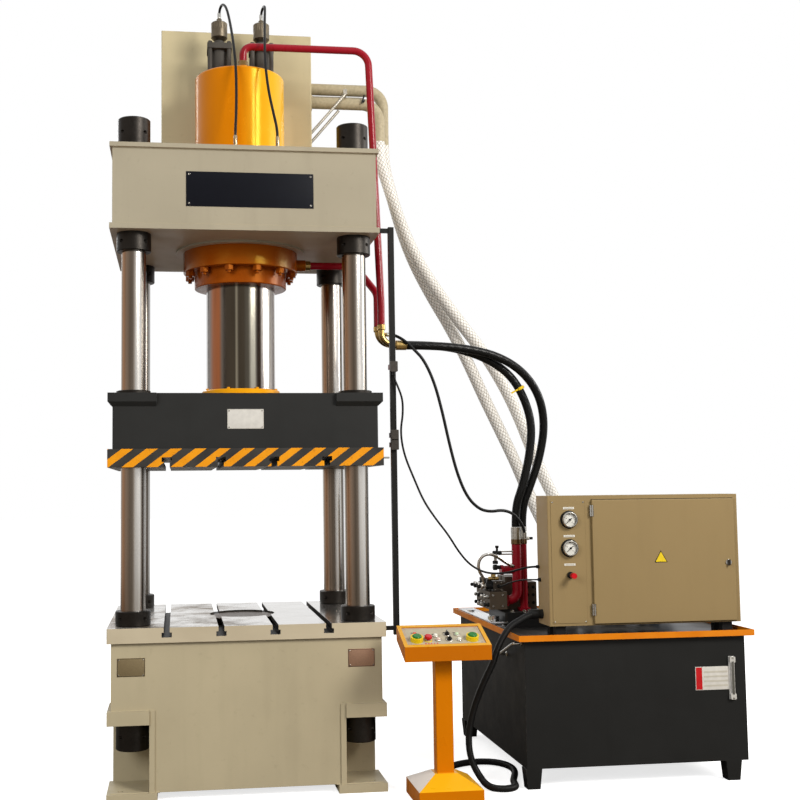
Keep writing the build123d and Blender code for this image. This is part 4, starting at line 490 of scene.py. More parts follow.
line_pink = plastic("line_pink", (206, 150, 128), 0.5)
glass_grey = plastic("glass_grey", (92, 90, 84), 0.2)
# Painted shade: the dark brown of the strips round the door's shadow gap.
gap_shade_brown = plastic("gap_shade_brown", (58, 48, 34), 0.6)
tie_yellow = plastic("tie_yellow", (234, 196, 22), 0.4)
nameplate_black = plastic("nameplate_black", (13, 15, 23), 0.3)
finish(hazard_material(), "slide_plate")
finish(table_material(), "table_plate")
finish(tray_material(), "drip_tray")
finish(zoned("hose_fitting_zones", (186, 156, 96), 1.0, 0.26, [
    ("Z", ">", 3.52, (190, 184, 172), 0.7), ("X", "<", 0.3, (150, 118, 72), 0.9),
    ("Z", "<", 1.5, (206, 204, 198), 1.0), ("Z", "<", 1.316, (132, 108, 76), 1.0)]), "hose_fittings")
finish(zoned("regulator_zones", (28, 28, 28), 0.0, 0.28, [
    ("Y", "<", -0.6672, (190, 186, 178), 1.0), ("Y", "<", -0.6982, (196, 20, 30), 0.0)]), "regulator_knob")
finish(zoned("tank_pipe_zones", PRESS_BEIGE, 0.0, 0.42, [("Z", "<", 1.2, (40, 40, 38), 0.0)]), "tank_pipes")
finish(zoned("switch_zones", (120, 52, 46), 0.0, 0.4, [("Y", "<", -0.3735, (72, 68, 64), 0.4)]),
       "limit_switches")
finish(zoned("level_gauge_zones", (226, 224, 220), 0.2, 0.3, [("Y", "<", -0.7305, (214, 212, 206), 0.3)]),
       "level_gauge")
finish(zoned("lock_zones", (196, 193, 187), 0.9, 0.28, [("Y", "<", -0.6735, (62, 58, 54), 0.7)]),
       "door_lock")
finish(zoned("valve_zones", (74, 66, 58), 0.2, 0.3, [
    ("X", "<", 1.4935, (30, 30, 30), 0.0), ("X", "<", 1.450, (196, 192, 184), 1.0)]), "solenoid_valves")


# Cords: routes in millimetres, other sizes in metres
def smooth_line(name, points, every):
    """Points along the NURBS spline that a route gives."""
    data = bpy.data.curves.new(name + "_line", "CURVE")
    data.dimensions = "3D"
    data.resolution_u = every
    spline = data.splines.new("NURBS")
    spline.points.add(len(points) - 1)
    for knot, place in zip(spline.points, points):
        knot.co = (*place, 1)
    spline.order_u = 3
    spline.use_endpoint_u = True
    carrier = placed(name + "_line", data)
    bpy.context.view_layer.update()
    mesh = bpy.data.meshes.new_from_object(carrier)
    line = [vertex.co.copy() for vertex in mesh.vertices]
    bpy.data.objects.remove(carrier)
    bpy.data.meshes.remove(mesh)
    return line


def steps(line):
    """From each point of a line to the next, as vectors."""
    return [b - a for a, b in zip(line, line[1:])]


def spaced(line, apart):
    """The same line with its points evenly apart."""
    lengths = [step.length for step in steps(line)]
    total = sum(lengths)
    count = max(2, round(total / apart))
    gap, out, left = total / count, [line[0]], 0.0
    for a, b, piece in zip(line, line[1:], lengths):
        while left + piece >= gap * len(out) - 1e-9 and len(out) < count:
            out.append(a.lerp(b, (gap * len(out) - left) / piece))
        left += piece
    return out + [line[-1]]


def circle(radius, height, sides, turn=0.0):
    """Points of a ring about Z."""
    angles = [2 * pi * k / sides + turn for k in range(sides)]
    return [(radius * cos(a), radius * sin(a), height) for a in angles]


def swept(line, tangents, radii, sides):
    """Rings round a line, turned as little as can be from one to the next."""
    side = tangents[0].orthogonal().normalized()
    rings = []
    for point, tangent, radius in zip(line, tangents, radii):
        side = (side - tangent * side.dot(tangent)).normalized()
        other = tangent.cross(side)
        rings.append([point + side * x + other * y for x, y, z in circle(radius, 0, sides)])
    return rings


def ring_mesh(name, rings, closed=True):
    """A mesh from rings of points, each joined to the next, with the ends closed if asked."""
    sides = len(rings[0])
    last = (len(rings) - 1) * sides
    faces = [(i + k, i + (k + 1) % sides, i + (k + 1) % sides + sides, i + k + sides)
             for i in range(0, last, sides) for k in range(sides)]
    if closed:
        faces += [tuple(range(sides))[::-1], tuple(range(last, last + sides))]
    mesh = bpy.data.meshes.new(name)
    mesh.from_pydata([point for ring in rings for point in ring], [], faces)
    return mesh


def tube(name, line, radius, material, sides, ribs):
    """A tube round a line, with UV in turns and metres; ribs = (pitch, depth) rings its wall."""
    parts = [step.normalized() for step in steps(line)]
    tangents = [parts[0]] + [(a + b).normalized() for a, b in zip(parts, parts[1:])] + [parts[-1]]
    distances = list(accumulate((step.length for step in steps(line)), initial=0.0))
    pitch, depth = ribs
    radii = [radius - depth * (0.5 - 0.5 * cos(2 * pi * d / pitch)) for d in distances]
    mesh = ring_mesh(name, swept(line, tangents, radii, sides))
    layer = mesh.uv_layers.new(name="UVMap")
    for face in mesh.polygons[:-2]:
        face.use_smooth = True
        for corner, loop in enumerate(face.loop_indices):
            ring, k = divmod(mesh.loops[loop].vertex_index, sides)
            turn = 1.0 if k == 0 and corner in (1, 2) else k / sides
            layer.data[loop].uv = (turn, distances[ring])
    mesh.materials.append(material)
    return placed(name, mesh)


def lay_cord(node, diameter, length, route, material=rubber, stiffness="medium", lay="hanging", ribs=(1, 0),
             step=0.006, sides=20):
    route = [tuple(value / 1000 for value in point) for point in route]
    line = spaced(smooth_line(node, route, 24), step)
    piece = tube(node + "_dressed", line, diameter / 2, material, sides, ribs)
    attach(piece, "press")
    if node in nodes:
        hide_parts(node)


# Painted light and shade: the clear hose glows a little and its outline is darkened.
braid = braid_material("clear_braided_hose", (236, 232, 225), (128, 121, 108), (116, 106, 86),
                       strands=10, pitch=0.032, gloss=0.06, painted_outline_share=0.95, glow=0.14)
wrapped = braid_material("wrapped_hose", (15, 15, 15), (25, 25, 24), (16, 16, 16),
                         strands=9, pitch=0.05, gloss=0.0, painted_outline_share=0.5, glow=0.0)
WRAPPED = {"material": wrapped, "stiffness": "stiff", "step": 0.012, "sides": 28}
BRAID = {"material": braid, "stiffness": "stiff", "step": 0.005, "sides": 32, "ribs": (0.02, 0.0012)}
lay_cord("pressure_hose_upper", 0.05, 1.761, **WRAPPED, route=[
    (972, -200, 2476), (1120, -200, 2476), (1322, -188, 2464), (1530, -170, 2424), (1698, -146, 2332),
    (1808, -120, 2190), (1850, -84, 2010), (1820, -64, 1812), (1754, -57, 1630), (1701, -56, 1505),
    (1701, -56, 1390)])
lay_cord("pressure_hose_lower", 0.05, 1.643, **WRAPPED, route=[
    (988, -110, 2490), (1140, -110, 2490), (1318, -112, 2468), (1500, -114, 2404), (1636, -114, 2306),
    (1718, -114, 2164), (1760, -114, 2000), (1738, -113, 1812), (1692, -110, 1632), (1645, -106, 1508),
    (1645, -106, 1390)])
lay_cord("pilot_hose", 0.018, 1.656, step=0.008, route=[
    (852, -200, 2540), (890, -200, 2540), (926, -210, 2524), (962, -236, 2494), (1008, -250, 2446),
    (1066, -252, 2384), (1126, -250, 2254), (1172, -246, 2080), (1212, -242, 1890), (1258, -236, 1710),
    (1318, -226, 1572), (1396, -204, 1500), (1472, -180, 1484), (1548, -166, 1494), (1612, -162, 1474),
    (1660, -148, 1424), (1688, -128, 1380), (1697, -116, 1350), (1697, -116, 1318)])
lay_cord("return_hose_front", 0.078, 3.234, **BRAID, route=[
    (933, 400, 3890), (933, 400, 3774), (990, 402, 3602), (1070, 405, 3345), (1176, 408, 3110),
    (1308, 412, 2908), (1451, 418, 2715), (1604, 430, 2526), (1738, 440, 2319), (1848, 450, 2095),
    (1938, 464, 1868), (2036, 480, 1650), (2140, 490, 1462), (2246, 498, 1288), (2306, 500, 1140),
    (2306, 500, 1010)])
lay_cord("return_hose_rear", 0.078, 3.134, **BRAID, route=[
    (974, 480, 3890), (974, 480, 3780), (1010, 487, 3628), (1076, 498, 3382), (1158, 503, 3146),
    (1276, 504, 2914), (1408, 502, 2692), (1516, 498, 2478), (1616, 496, 2250), (1722, 494, 2026),
    (1822, 492, 1816), (1908, 490, 1606), (2006, 490, 1392), (2092, 490, 1232), (2146, 490, 1122),
    (2146, 490, 1010)])
lay_cord("prefill_hose_left", 0.016, 1.221, route=[
    (-120, 80, 4541), (-120, 80, 4574), (-116, 68, 4602), (-106, 42, 4616), (-94, 10, 4606),
    (-80, -30, 4568), (-68, -84, 4492), (-56, -170, 4370), (-46, -256, 4232), (-38, -318, 4082),
    (-38, -358, 3924), (-42, -390, 3776), (-48, -414, 3690), (-48, -414, 3625)])
lay_cord("prefill_hose_right", 0.016, 1.219, route=[
    (140, 80, 4541), (140, 80, 4574), (144, 68, 4602), (152, 42, 4616), (158, 10, 4606),
    (156, -30, 4566), (150, -84, 4492), (142, -170, 4366), (136, -256, 4228), (136, -318, 4082),
    (150, -356, 3934), (176, -386, 3790), (194, -414, 3692), (194, -414, 3625)])
lay_cord("sensor_cable", 0.012, 1.664, sides=14, route=[
    (858, -385, 2300), (858, -385, 2266), (880, -390, 2214), (906, -394, 2140), (906, -394, 2050),
    (892, -396, 1972), (896, -398, 1890), (918, -392, 1800), (968, -384, 1682), (1022, -376, 1556),
    (1096, -365, 1450), (1170, -350, 1360), (1232, -335, 1262), (1304, -320, 1180), (1396, -325, 1132),
    (1498, -360, 1132), (1560, -430, 1158), (1608, -480, 1176), (1649, -480, 1176)])
lay_cord("control_conduit", 0.038, 2.816, lay="loose", ribs=(0.0066, 0.0016), step=0.0011, sides=18, route=[
    (1645, -520, 914), (1608, -520, 914), (1566, -541, 904), (1512, -576, 886), (1446, -610, 858),
    (1398, -622, 796), (1366, -618, 728), (1348, -604, 660), (1304, -570, 558), (1262, -512, 416),
    (1238, -472, 276), (1240, -456, 176), (1252, -470, 106), (1266, -510, 62), (1282, -574, 27),
    (1286, -640, 19.2), (1297, -711, 19.2), (1326, -739, 19.2), (1365, -750, 19.2), (1404, -739, 19.2),
    (1431, -711, 19.2), (1441, -672, 19.2), (1450, -600, 19.2), (1480, -516, 19.2), (1512, -430, 19.2),
    (1531, -336, 19.2), (1525, -250, 19.2), (1493, -180, 19.2), (1440, -138, 19.2), (1372, -126, 19.2),
    (1296, -142, 19.2), (1222, -186, 19.2), (1158, -250, 19.2), (1096, -346, 19.2), (1046, -452, 19.2),
    (1024, -528, 22), (1014, -580, 24.5), (1014, -619, 24.5)])
lay_cord("valve_lead", 0.009, 0.398, sides=14, route=[
    (1524, -146, 1040), (1524, -176, 1040), (1532, -215, 1052), (1560, -280, 1075), (1596, -350, 1092),
    (1628, -430, 1100), (1643, -500, 1104), (1664, -500, 1104)])


# Small solids, in millimetres
PIPE_SIDES, PIPE_POINTS = 14, 12
SHARP_DEGREES = 40


def aimed(origin, direction):
    turned = Vector(direction).normalized().to_track_quat("Z", "Y").to_matrix().to_4x4()
    return shift(Vector(origin)) @ turned


class Piece:
    """Collects small solids in one mesh and turns them into a piece that rides on a body."""

    def __init__(self, name, body="press", slot="zinc"):
        self.name, self.body, self.slot = name, body, slot
        self.bm = bmesh.new()
        self.materials = []

    def join(self, mesh, material, where, smooth=True):
        if material not in self.materials:
            self.materials.append(material)
        mesh.transform(where)
        before = len(self.bm.faces)
        self.bm.from_mesh(mesh)
        bpy.data.meshes.remove(mesh)
        self.bm.faces.ensure_lookup_table()
        for face in self.bm.faces[before:]:
            face.material_index = self.materials.index(material)
            face.smooth = smooth

    def skin(self, rings, material, where=Matrix(), smooth=True):
        self.join(ring_mesh("part", rings), material, where, smooth)

    def sheet(self, x, z, y, material, bevel=0):
        """A flat box on a front face, each of x, z and y being (low, high)."""
        self.box(*zip(x, y, z), material, bevel)

    def box(self, low, high, material, bevel, where=Matrix()):
        part = bmesh.new()
        bmesh.ops.create_cube(part, size=1)
        size = Vector(high) - Vector(low)
        part.transform(shift((Vector(low) + Vector(high)) / 2) @ Matrix.Diagonal((*size, 1)))
        if bevel:
            bmesh.ops.bevel(part, geom=list(part.edges), offset=min(bevel, min(size) * 0.4), segments=2,
                            affect="EDGES", profile=0.7)
        mesh = bpy.data.meshes.new("part")
        part.to_mesh(mesh)
        part.free()
        self.join(mesh, material, where)

    def turned(self, profile, origin, direction, material, sides=20):
        """A turned solid from (radius, height) pairs along a direction."""
        rings = [circle(radius, height, sides) for radius, height in profile]
        self.skin(rings, material, aimed(origin, direction))

    def hexagon(self, across, height, origin, material):
        """An upright hexagon nut or bolt head with a chamfered top."""
        radius = across / sqrt(3)
        levels = ((radius, 0), (radius, height * 0.86), (radius * 0.88, height))
        rings = [circle(r, z, 6) for r, z in levels]
        self.skin(rings, material, aimed(origin, UP), smooth=False)

    def screw(self, radius, height, origin):
        """A zinc round-headed screw with a socket, on a front face."""
        self.turned([(radius, 0), (radius, height * 0.6), (radius * 0.8, height), (radius * 0.45, height),
                     (radius * 0.4, height * 0.45)], origin, FRONT, zinc, 18)

    def pipe(self, route, radius, material):
        """A bent rod or pipe through a short route."""
        line = smooth_line(self.name, route, PIPE_POINTS)
        tangents = [step.normalized() for step in steps(line)]
        rings = swept(line, tangents + tangents[-1:], [radius] * len(line), PIPE_SIDES)
        self.skin(rings, material)

    def done(self):
        self.bm.transform(Matrix.Diagonal((MM, MM, MM, 1)))
        mesh = bpy.data.meshes.new(self.name)
        self.bm.to_mesh(mesh)
        self.bm.free()
        for material in self.materials:
            mesh.materials.append(material)
        mesh.set_sharp_from_angle(angle=radians(SHARP_DEGREES))
        piece = placed(self.name, mesh)
        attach(piece, self.body)


def border(low, high, width):
    """The four strips just inside a rectangle, each as (low corner, high corner)."""
    (left, bottom), (right, top) = low, high
    return ((low, (right, bottom + width)), ((left, top - width), high),
            (low, (left + width, top)), ((right - width, bottom), high))


def front_plate(name, x, z, face_y, material, screws, body="press", inset=9, thick=2.0, edge=None):
    """A bare plate on a front face, held by four screws, with a border line if asked."""
    piece = Piece(name, body, "machined_steel")
    front = face_y - thick
    piece.sheet(x, z, (front, face_y + 0.5), material, 0.8)
    if edge:
        for low, high in border((x[0] + 2, z[0] + 2), (x[1] - 2, z[1] - 2), 2):
            piece.sheet(*zip(low, high), (front - 0.3, front + 0.2), edge)
    for px, pz in product((x[0] + inset, x[1] - inset), (z[0] + inset, z[1] - inset)):
        piece.screw(screws, 3, (px, front, pz))
    piece.done()


# Plates
front_plate("nameplate", (-330, 375), (3188, 3383), -610, nameplate_black, 6, inset=16, thick=3)
front_plate("slide_sign", (-108, 90), (1963, 2070), -600, white_plate, 3.5, "slide", edge=label_grey)
for name, x, z, steel, tone in (
        ("bed_plate_left", (-696, -549), (650, 747), "etched_plate", (172, 156, 122)),
        ("bed_plate_right", (541, 687), (666, 762), "etched_plate_red", (186, 150, 126))):
    front_plate(name, x, z, -603, metal(steel, tone, 0.45), 4, edge=ink)

# Gauges: dial faces with ticks, figures and black rings; the sheet's screws and bare labels
PANEL_FACE_Y, DIAL_FLOOR_Y, DIAL_X = -653, -667, 1787
DIAL_START, DIAL_SWEEP, DIAL_TICKS = 225, 270, 40
FIGURE_REACH = 20


def dial_angle(share):
    return radians(DIAL_START - DIAL_SWEEP * share)


def dress_gauge(name, z):
    piece = Piece(name, "press", "machined_steel")
    y = DIAL_FLOOR_Y
    piece.turned([(36.6, -0.4), (36.6, 0.7), (36.2, 1.0)], (DIAL_X, y, z), FRONT, label_white, 40)
    for k in range(DIAL_TICKS + 1):
        inner, width = (31, 0.45) if k % 10 else (26, 0.9)
        turned = shift((DIAL_X, 0, z)) @ Matrix.Rotation(-dial_angle(k / DIAL_TICKS), 4, "Y")
        piece.box((inner, y - 1.3, -width), (34.5, y - 0.8, width), ink, 0, turned)
    piece.turned([(44.4, 0), (49.5, 0.4), (50, 5), (47, 9), (44.4, 9.4)], (DIAL_X, PANEL_FACE_Y, z), FRONT,
                 black_plastic, 44)
    piece.done()
    for value in range(0, DIAL_TICKS + 1, 10):
        angle = dial_angle(value / DIAL_TICKS)
        data = bpy.data.curves.new(f"{name}_{value}", "FONT")
        data.body = str(value)
        data.size, data.extrude = 0.0075, 0.0001
        data.align_x = data.align_y = "CENTER"
        data.materials.append(ink)
        figure = placed(f"{name}_{value}", data)
        figure.location = ((DIAL_X + FIGURE_REACH * cos(angle)) * MM, (y - 1.2) * MM,
                           (z + FIGURE_REACH * sin(angle)) * MM)
        figure.rotation_euler = (pi / 2, 0, 0)
        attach(figure, "press")


dress_gauge("gauge_dial_upper", 1445)
dress_gauge("gauge_dial_lower", 1287)
trim = Piece("gauge_sheet_trim")
for x, z in product((1693, 1872), (882, 1542)):
    trim.screw(4.5, 3, (x, PANEL_FACE_Y, z))
for z in (1509, 1354, 1196):
    trim.sheet((1755, 1819), (z - 6, z + 6), (PANEL_FACE_Y - 1.2, PANEL_FACE_Y + 0.3), label_white, 0.5)
    trim.sheet((1761, 1813), (z - 3.2, z + 3.2), (PANEL_FACE_Y - 1.5, PANEL_FACE_Y - 1.0), label_grey)
trim.done()

# Door: dark strips on the cabinet's face round the door, painted shade for its shadow gap, and a plain
# yellow triangle
GAP_SHADE_Y = (-651.5, -649.7)
gap_shade = Piece("door_gap_shade", "press", "hose_rubber")
for x, z in (((1918, 2759), (864, 868)), ((1918, 2759), (1553, 1557)), ((2755, 2759), (868, 1553))):
    gap_shade.sheet(x, z, GAP_SHADE_Y, gap_shade_brown)
gap_shade.done()
TRIANGLE_X, TRIANGLE_Z = 2313, 1222
warning = Piece("door_triangle", "door")
for reach, front, rear, material in ((44, -669.2, -667.5, ink), (37, -669.8, -668.8, shroud_yellow)):
    angles = [radians(a) for a in (90, 210, 330)]
    warning.skin([[(TRIANGLE_X + reach * cos(a), y, TRIANGLE_Z + reach * sin(a)) for a in angles]
                  for y in (rear, front)], material, smooth=False)
warning.done()

# Tank: a bare white plate with a red field, the level gauge's glass and a rod handle on the left side
plate = Piece("tank_plate")
plate.sheet((2467, 2667), (497, 624), (-724, -721.5), white_plate, 0.8)
plate.sheet((2470, 2506), (500, 621), (-724.5, -723.5), stop_red)
for z in (520, 545, 570, 595):
    plate.sheet((2516, 2656), (z - 5, z + 5), (-724.4, -723.6), label_grey)
plate.sheet((2671, 2685), (470, 651), (-744.8, -743.6), glass_grey, 0.4)
for z in (450, 671):
    plate.screw(6, 1.2, (2678, -744, z))
plate.done()
handle = Piece("tank_handle")
handle.pipe([(1494, -668, 774), (1462, -668, 774), (1446, -668, 774), (1446, -640, 765), (1446, -411, 687),
             (1446, -383, 678), (1462, -383, 678), (1494, -383, 678)], 7.5, bright)
for y, z in ((-668, 774), (-383, 678)):
    handle.turned([(14, 0), (14, 4), (9, 8)], (1493, y, z), LEFT, zinc)
handle.done()


def tipped(x, y, z, degrees):
    """A place turned about Y."""
    return shift((x, y, z)) @ Matrix.Rotation(radians(degrees), 4, "Y")


# Hose ends and the tie on the lower hose
ends = Piece("hose_ends")
for x in (-48, 194):
    ends.turned([(10.5, 20), (11.5, 24), (11.5, 84), (9, 90)], (x, -414, 3565), UP, bronze)
for x in (-120, 140):
    ends.turned([(9, 0), (11.5, 2), (11.5, 34), (9.4, 40)], (x, 80, 4541), UP, zinc)
ends.turned([(10, -2), (12.5, 0), (12.5, 34), (10, 38)], (853, -200, 2540), RIGHT, zinc)
ends.turned([(10, -2), (12.5, 0), (12.5, 38), (10, 44)], (1697, -116, 1318), UP, zinc)
ends.turned([(7, -24), (10, -22), (10, -2), (8, 0)], (858, -385, 2300), UP, black_plastic, 18)
ends.turned([(20, 0), (27, 3), (27, 40), (22, 54)], (1645, -520, 914), LEFT, black, 26)
ends.turned([(25.3, -9), (28, -8), (28, 8), (25.3, 9)], (1688, -114, 2228), (72, 0, -142), tie_yellow, 30)
ends.box((-5, -3, -38), (5, 0, 10), tie_yellow, 0.8, tipped(1660, -141, 2214, 62))
ends.done()

# Lever on the lower return pipe
lever = Piece("return_lever")
lever.turned([(9, 0), (9, 16), (6, 18)], (826, 366, 4150), FRONT, black, 18)
lever.box((-5, 345, -52), (5, 351, 12), black, 2, tipped(828, 0, 4178, 18))
lever.done()

# Valve bank: the bent chrome pipe, fittings, plugs, bolts, the lead's two ends and the lid beside it
bank = Piece("valve_trim")
bank.pipe([(1440, -102, 1052), (1436, -120, 1090), (1404, -140, 1130), (1396, -148, 1176),
           (1414, -150, 1216), (1456, -150, 1236), (1506, -148, 1222), (1552, -138, 1190),
           (1596, -124, 1164), (1624, -118, 1152)], 9.5, bright)
for profile, origin, direction, material, sides in (
        ([(11, 0), (13, 2), (13, 22), (9, 26)], (1600, -122, 1162), (24, 4, -10), zinc, 18),
        ([(12, 0), (14, 3), (14, 20), (11, 22), (11, 34), (13, 36), (13, 50), (8, 54)], (1496, -118, 1236),
         RIGHT, black, 20),
        ([(7, 0), (7, 26), (11, 28), (11, 40)], (1522, -118, 1240), UP, black, 18),
        ([(4.6, 0), (4.6, 74)], (1546, -118, 1228), RIGHT, bright, 12),
        ([(4.6, 0), (4.6, 74)], (1546, -118, 1244), RIGHT, bright, 12),
        ([(15, 0), (17, 3), (17, 22), (12, 26), (12, 44)], (1500, -106, 1150), RIGHT, black, 20),
        ([(9, 0), (9, 22), (6, 26)], (1514, -106, 1189), UP, zinc, 18),
        ([(9, 0), (12, 3), (12, 20), (9, 22), (9, 40), (12, 42), (12, 60), (8, 64)], (1466, -112, 1084),
         RIGHT, brass, 20),
        ([(11, 0), (11, 14), (7, 22)], (1524, -124, 1040), FRONT, black, 20),
        ([(11, 0), (11, 6), (8, 16)], (1665, -500, 1104), LEFT, black, 20),
        ([(8, 0), (11, 2), (11, 14), (6, 18), (6, 38)], (1726, -56, 1318), RIGHT, label_white, 18),
        ([(8, 0), (8, 1.5), (6, 2)], (1505, -70, 858.6), UP, label_white, 18)):
    bank.turned(profile, origin, direction, material, sides)
bank.hexagon(30, 20, (1514, -106, 1170), black)
bank.hexagon(26, 16, (1498, -112, 1094), brass)
for y in (-100, -26, 48):
    bank.turned([(19.6, 0), (20.6, 2), (20.6, 12), (19.6, 14)], (1434, y, 1039), LEFT, bright, 26)
    bank.turned([(9, 0), (10.5, 2), (10.5, 22), (7, 26)], (1424, y, 1039), LEFT, black)
    for x, z in product((1505, 1543), (1018, 1060)):
        bank.screw(4.5, 5, (x, y - 24, z))
for y, z in product((-130, -60, 10, 80), (932, 978)):
    bank.turned([(13, 0), (13, 10), (9, 12), (9, 20), (11, 21), (11, 30), (6, 33)], (1462, y, z), LEFT,
                (bright, black, zinc)[(y // 10 + z) % 3])
for x, z in product((1480, 1538), (924, 990)):
    bank.screw(7, 6, (x, -160, z))
for x, z in product((1742, 1778), (925, 972, 1019)):
    bank.turned([(9.5, -1), (9.5, 1.2), (6.4, 1.4), (6.2, 0.3)], (x, 0, z), FRONT, ink, 18)
for x, y in ((1668, -165), (1742, -160), (1712, -120), (1600, -150)):
    bank.turned([(11.16, 0), (11.88, 0.8), (11.16, 2)], (x, y, 886), UP, zinc)
    bank.hexagon(18, 12, (x, y, 888), zinc)
bank.box((1740, -62, 1310), (1764, -50, 1326), black, 2)
bank.box((1458, -186, 821), (1562, 616, 836), lid_white, 2)
bank.done()

# Weld beads where the bed's ledges and the crosshead's plates meet their neighbours
BEAD_RADIUS, BEAD_STEP = 4.0, 7
weld = Piece("weld_beads", "press", "beige_paint")


def bead(start, end):
    """A rippled bead between two points."""
    start, end = Vector(start), Vector(end)
    length = (end - start).length
    count = max(2, int(length / BEAD_STEP))
    profile = [(BEAD_RADIUS * (0.82 if k % 2 else 1.0), length * k / count) for k in range(count + 1)]
    weld.turned(profile, start, end - start, beige, 10)


for side in (-1, 1):
    bead((side * 526, -603, 400), (side * 526, -334, 400))
    bead((side * 500, -602.5, 46), (side * 500, -602.5, 470))
    bead((side * 528, -603.5, 471), (side * 738, -603.5, 471))
    bead((side * 470, -604, 46), (side * 728, -604, 46))
for z in (3087, 3509):
    bead((-730, -610.5, z), (730, -610.5, z))
weld.done()

# Console: lenses, rings, small lamps, the border line and bare labels
PANEL_MIDDLE, PANEL_TURN = (1014, -852.5, 854.5), atan2(85, 225)
PLATE_FACE = -5
BORDER_REACH = (199, 87)


def on_panel(u, v):
    """A matrix at a place on the sloped panel's face, with Z along its normal."""
    tilt = shift(PANEL_MIDDLE) @ Matrix.Rotation(PANEL_TURN, 4, "X")
    return tilt @ shift((u, v, PLATE_FACE))


def on_console(profile, u, v, material, sides=28):
    where = on_panel(u, v)
    desk.turned(profile, where.translation, where.to_3x3() @ Vector(UP), material, sides)


desk = Piece("console_trim")
for (u, v), lens in (((-152, 14), lens_red), ((-44, -5), lens_white), ((-38, -48), lens_pink),
                     ((73, 4), lens_green), ((74, -52), lens_white)):
    on_console([(13.3, 0.2), (14.2, 1), (14.2, 5.6), (13.2, 6.6)], u, v, bright)
    on_console([(9.4, 6), (10.6, 7), (10.6, 12), (8.6, 15), (4.5, 16.6)], u, v, lens)
for u in (-110, -95, -80, -64, -49):
    on_console([(3.6, -0.2), (3.6, 1.6), (2.2, 3)], u, -80, lens_red, 16)
for u, v in ((21, 8), (22, -48)):
    on_console([(16.3, 0.2), (17.2, 1), (17.2, 3.4), (16.2, 4.4)], u, v, bright)
    desk.box((-1, -1, 24.05), (1, 11, 24.6), label_white, 0, on_panel(u, v))
on_console([(15.4, 0.2), (21.5, 0.4), (21.5, 1.4), (15.4, 1.6)], -92, -46, shroud_yellow)
for low, high in border(tuple(-reach for reach in BORDER_REACH), BORDER_REACH, 1.6):
    desk.box((*low, -0.2), (*high, 0.3), line_pink, 0, on_panel(0, 0))
for u, v in product((-190, 190), (-78, 78)):
    on_console([(3.4, -0.2), (3.4, 1.4), (2.4, 2.2)], u, v, zinc, 16)
for u, v in ((-152, 40), (-44, 20), (21, 36), (73, 30), (-92, -18), (22, -20)):
    desk.box((-15, -3.5, -0.2), (15, 3.5, 0.5), ink, 0, on_panel(u, v))
desk.done()

# Floor, backdrop and lights: REFLECTIONS are the hall's greys by compass angle, 0 at the front
REFLECTIONS = ((-180, 244), (-150, 240), (-120, 222), (-90, 200), (-60, 214), (-30, 196), (-17, 176),
               (9, 190), (12, 228), (44, 240), (60, 246), (143, 246), (160, 240), (180, 244))
WARMTH = (1.0, 0.95, 0.90)
WARM_BELOW, WARM_UP_TO = 220, 40
HALL_REACH, HALL_HEIGHTS, HALL_STEPS = 13, (-1, 10), 144
FLOOR_REACH = 60
FLOOR_GLOW, AMBIENT = 0.74, 0.40


def make_surroundings():
    """A ring far round the model, seen only in reflections, as the hall that the metal mirrors."""
    rings = [circle(HALL_REACH, z, HALL_STEPS, -pi / 2) for z in HALL_HEIGHTS]
    data = ring_mesh("surroundings", rings, closed=False)
    hall = placed("surroundings", data)
    s = Shader("surroundings", (0, 0, 0), 1.0)
    azimuth = s.math("ARCTAN2", s.axis("X"), s.times(s.axis("Y"), -1.0))
    stops = []
    for angle, tone in REFLECTIONS:
        warm = WARMTH if tone < WARM_BELOW and angle < WARM_UP_TO else (1, 1, 1)
        stops.append(((angle + 180) / 360, [tone * share for share in warm]))
    glow = s.add("Emission", Color=s.bands(s.ramp(azimuth, -pi, pi), stops))
    s.wire(glow.outputs[0], s.tree.nodes["Material Output"].inputs["Surface"])
    data.materials.append(s.mat)
    for kind in ("visible_camera", "visible_diffuse", "visible_shadow", "visible_transmission"):
        setattr(hall, kind, False)


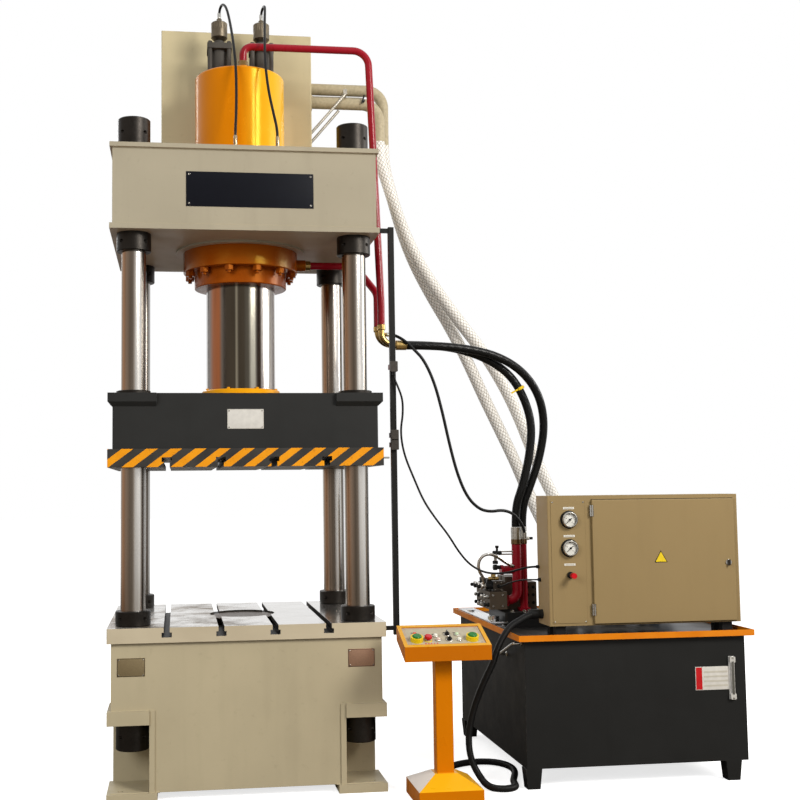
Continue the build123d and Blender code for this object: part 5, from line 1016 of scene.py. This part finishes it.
def make_floor():
    """A floor that is white to the camera and lets through only soft shadows."""
    data = bpy.data.meshes.new("floor")
    corners = ((-1, -1), (1, -1), (1, 1), (-1, 1))
    data.from_pydata([(x * FLOOR_REACH, y * FLOOR_REACH, 0) for x, y in corners], [], [(0, 1, 2, 3)])
    floor = placed("floor", data)
    s = Shader("floor", (236, 236, 236), 0.9)
    rays = s.add("LightPath").outputs
    seen = s.math("MAXIMUM", rays["Is Camera Ray"], rays["Is Transmission Ray"])
    s.put("Base Color", s.mix(seen, (140, 132, 122), (242, 242, 242)))
    s.put("Emission Color", srgb(255, 255, 255))
    s.put("Emission Strength", s.times(seen, FLOOR_GLOW))
    s.put("Specular IOR Level", 0.0)
    data.materials.append(s.mat)


def make_world():
    """A white world to camera, glossy and transmission rays, dimmer as light."""
    world = bpy.data.worlds.new("studio")
    bpy.context.scene.world = world
    sky = Nodes(world)
    rays = sky.add("LightPath").outputs
    seen = sky.math("MAXIMUM", rays["Is Camera Ray"], rays["Is Glossy Ray"])
    seen = sky.math("MAXIMUM", seen, rays["Is Transmission Ray"])
    ground = sky.tree.nodes["Background"].inputs
    sky.wire(sky.ramp(seen, 0, 1, AMBIENT, 1.0), ground["Strength"])
    sky.wire((1, 1, 1, 1), ground["Color"])


def make_lights():
    """Four area lights as (name, place, target, size, watts, tint); the fill is not mirrored."""
    for name, place, target, size, watts, tint in (
            ("key", (6.0, -7.5, 6.4), (0.8, 0, 1.8), 3.0, 740, (1.0, 0.97, 0.92)),
            ("side", (8.5, 0.0, 4.6), (0.6, 0, 2.4), 3.0, 260, (1.0, 0.98, 0.95)),
            ("fill", (-5.0, -7.0, 4.2), (0.4, 0, 1.6), 3.5, 300, (0.94, 0.97, 1.0)),
            ("rim", (-3.0, 6.5, 6.0), (0.8, 0, 2.0), 3.0, 140, (1.0, 1.0, 1.0))):
        lamp = bpy.data.lights.new(name, "AREA")
        lamp.size = size
        lamp.energy = watts
        lamp.color = tint
        holder = placed(name, lamp)
        holder.visible_glossy = name != "fill"
        holder.location = place
        holder.rotation_mode = "QUATERNION"
        holder.rotation_quaternion = (Vector(target) - Vector(place)).to_track_quat("-Z", "Y")


make_surroundings()
make_floor()
make_world()
make_lights()
bpy.context.scene.view_settings.view_transform = "Standard"
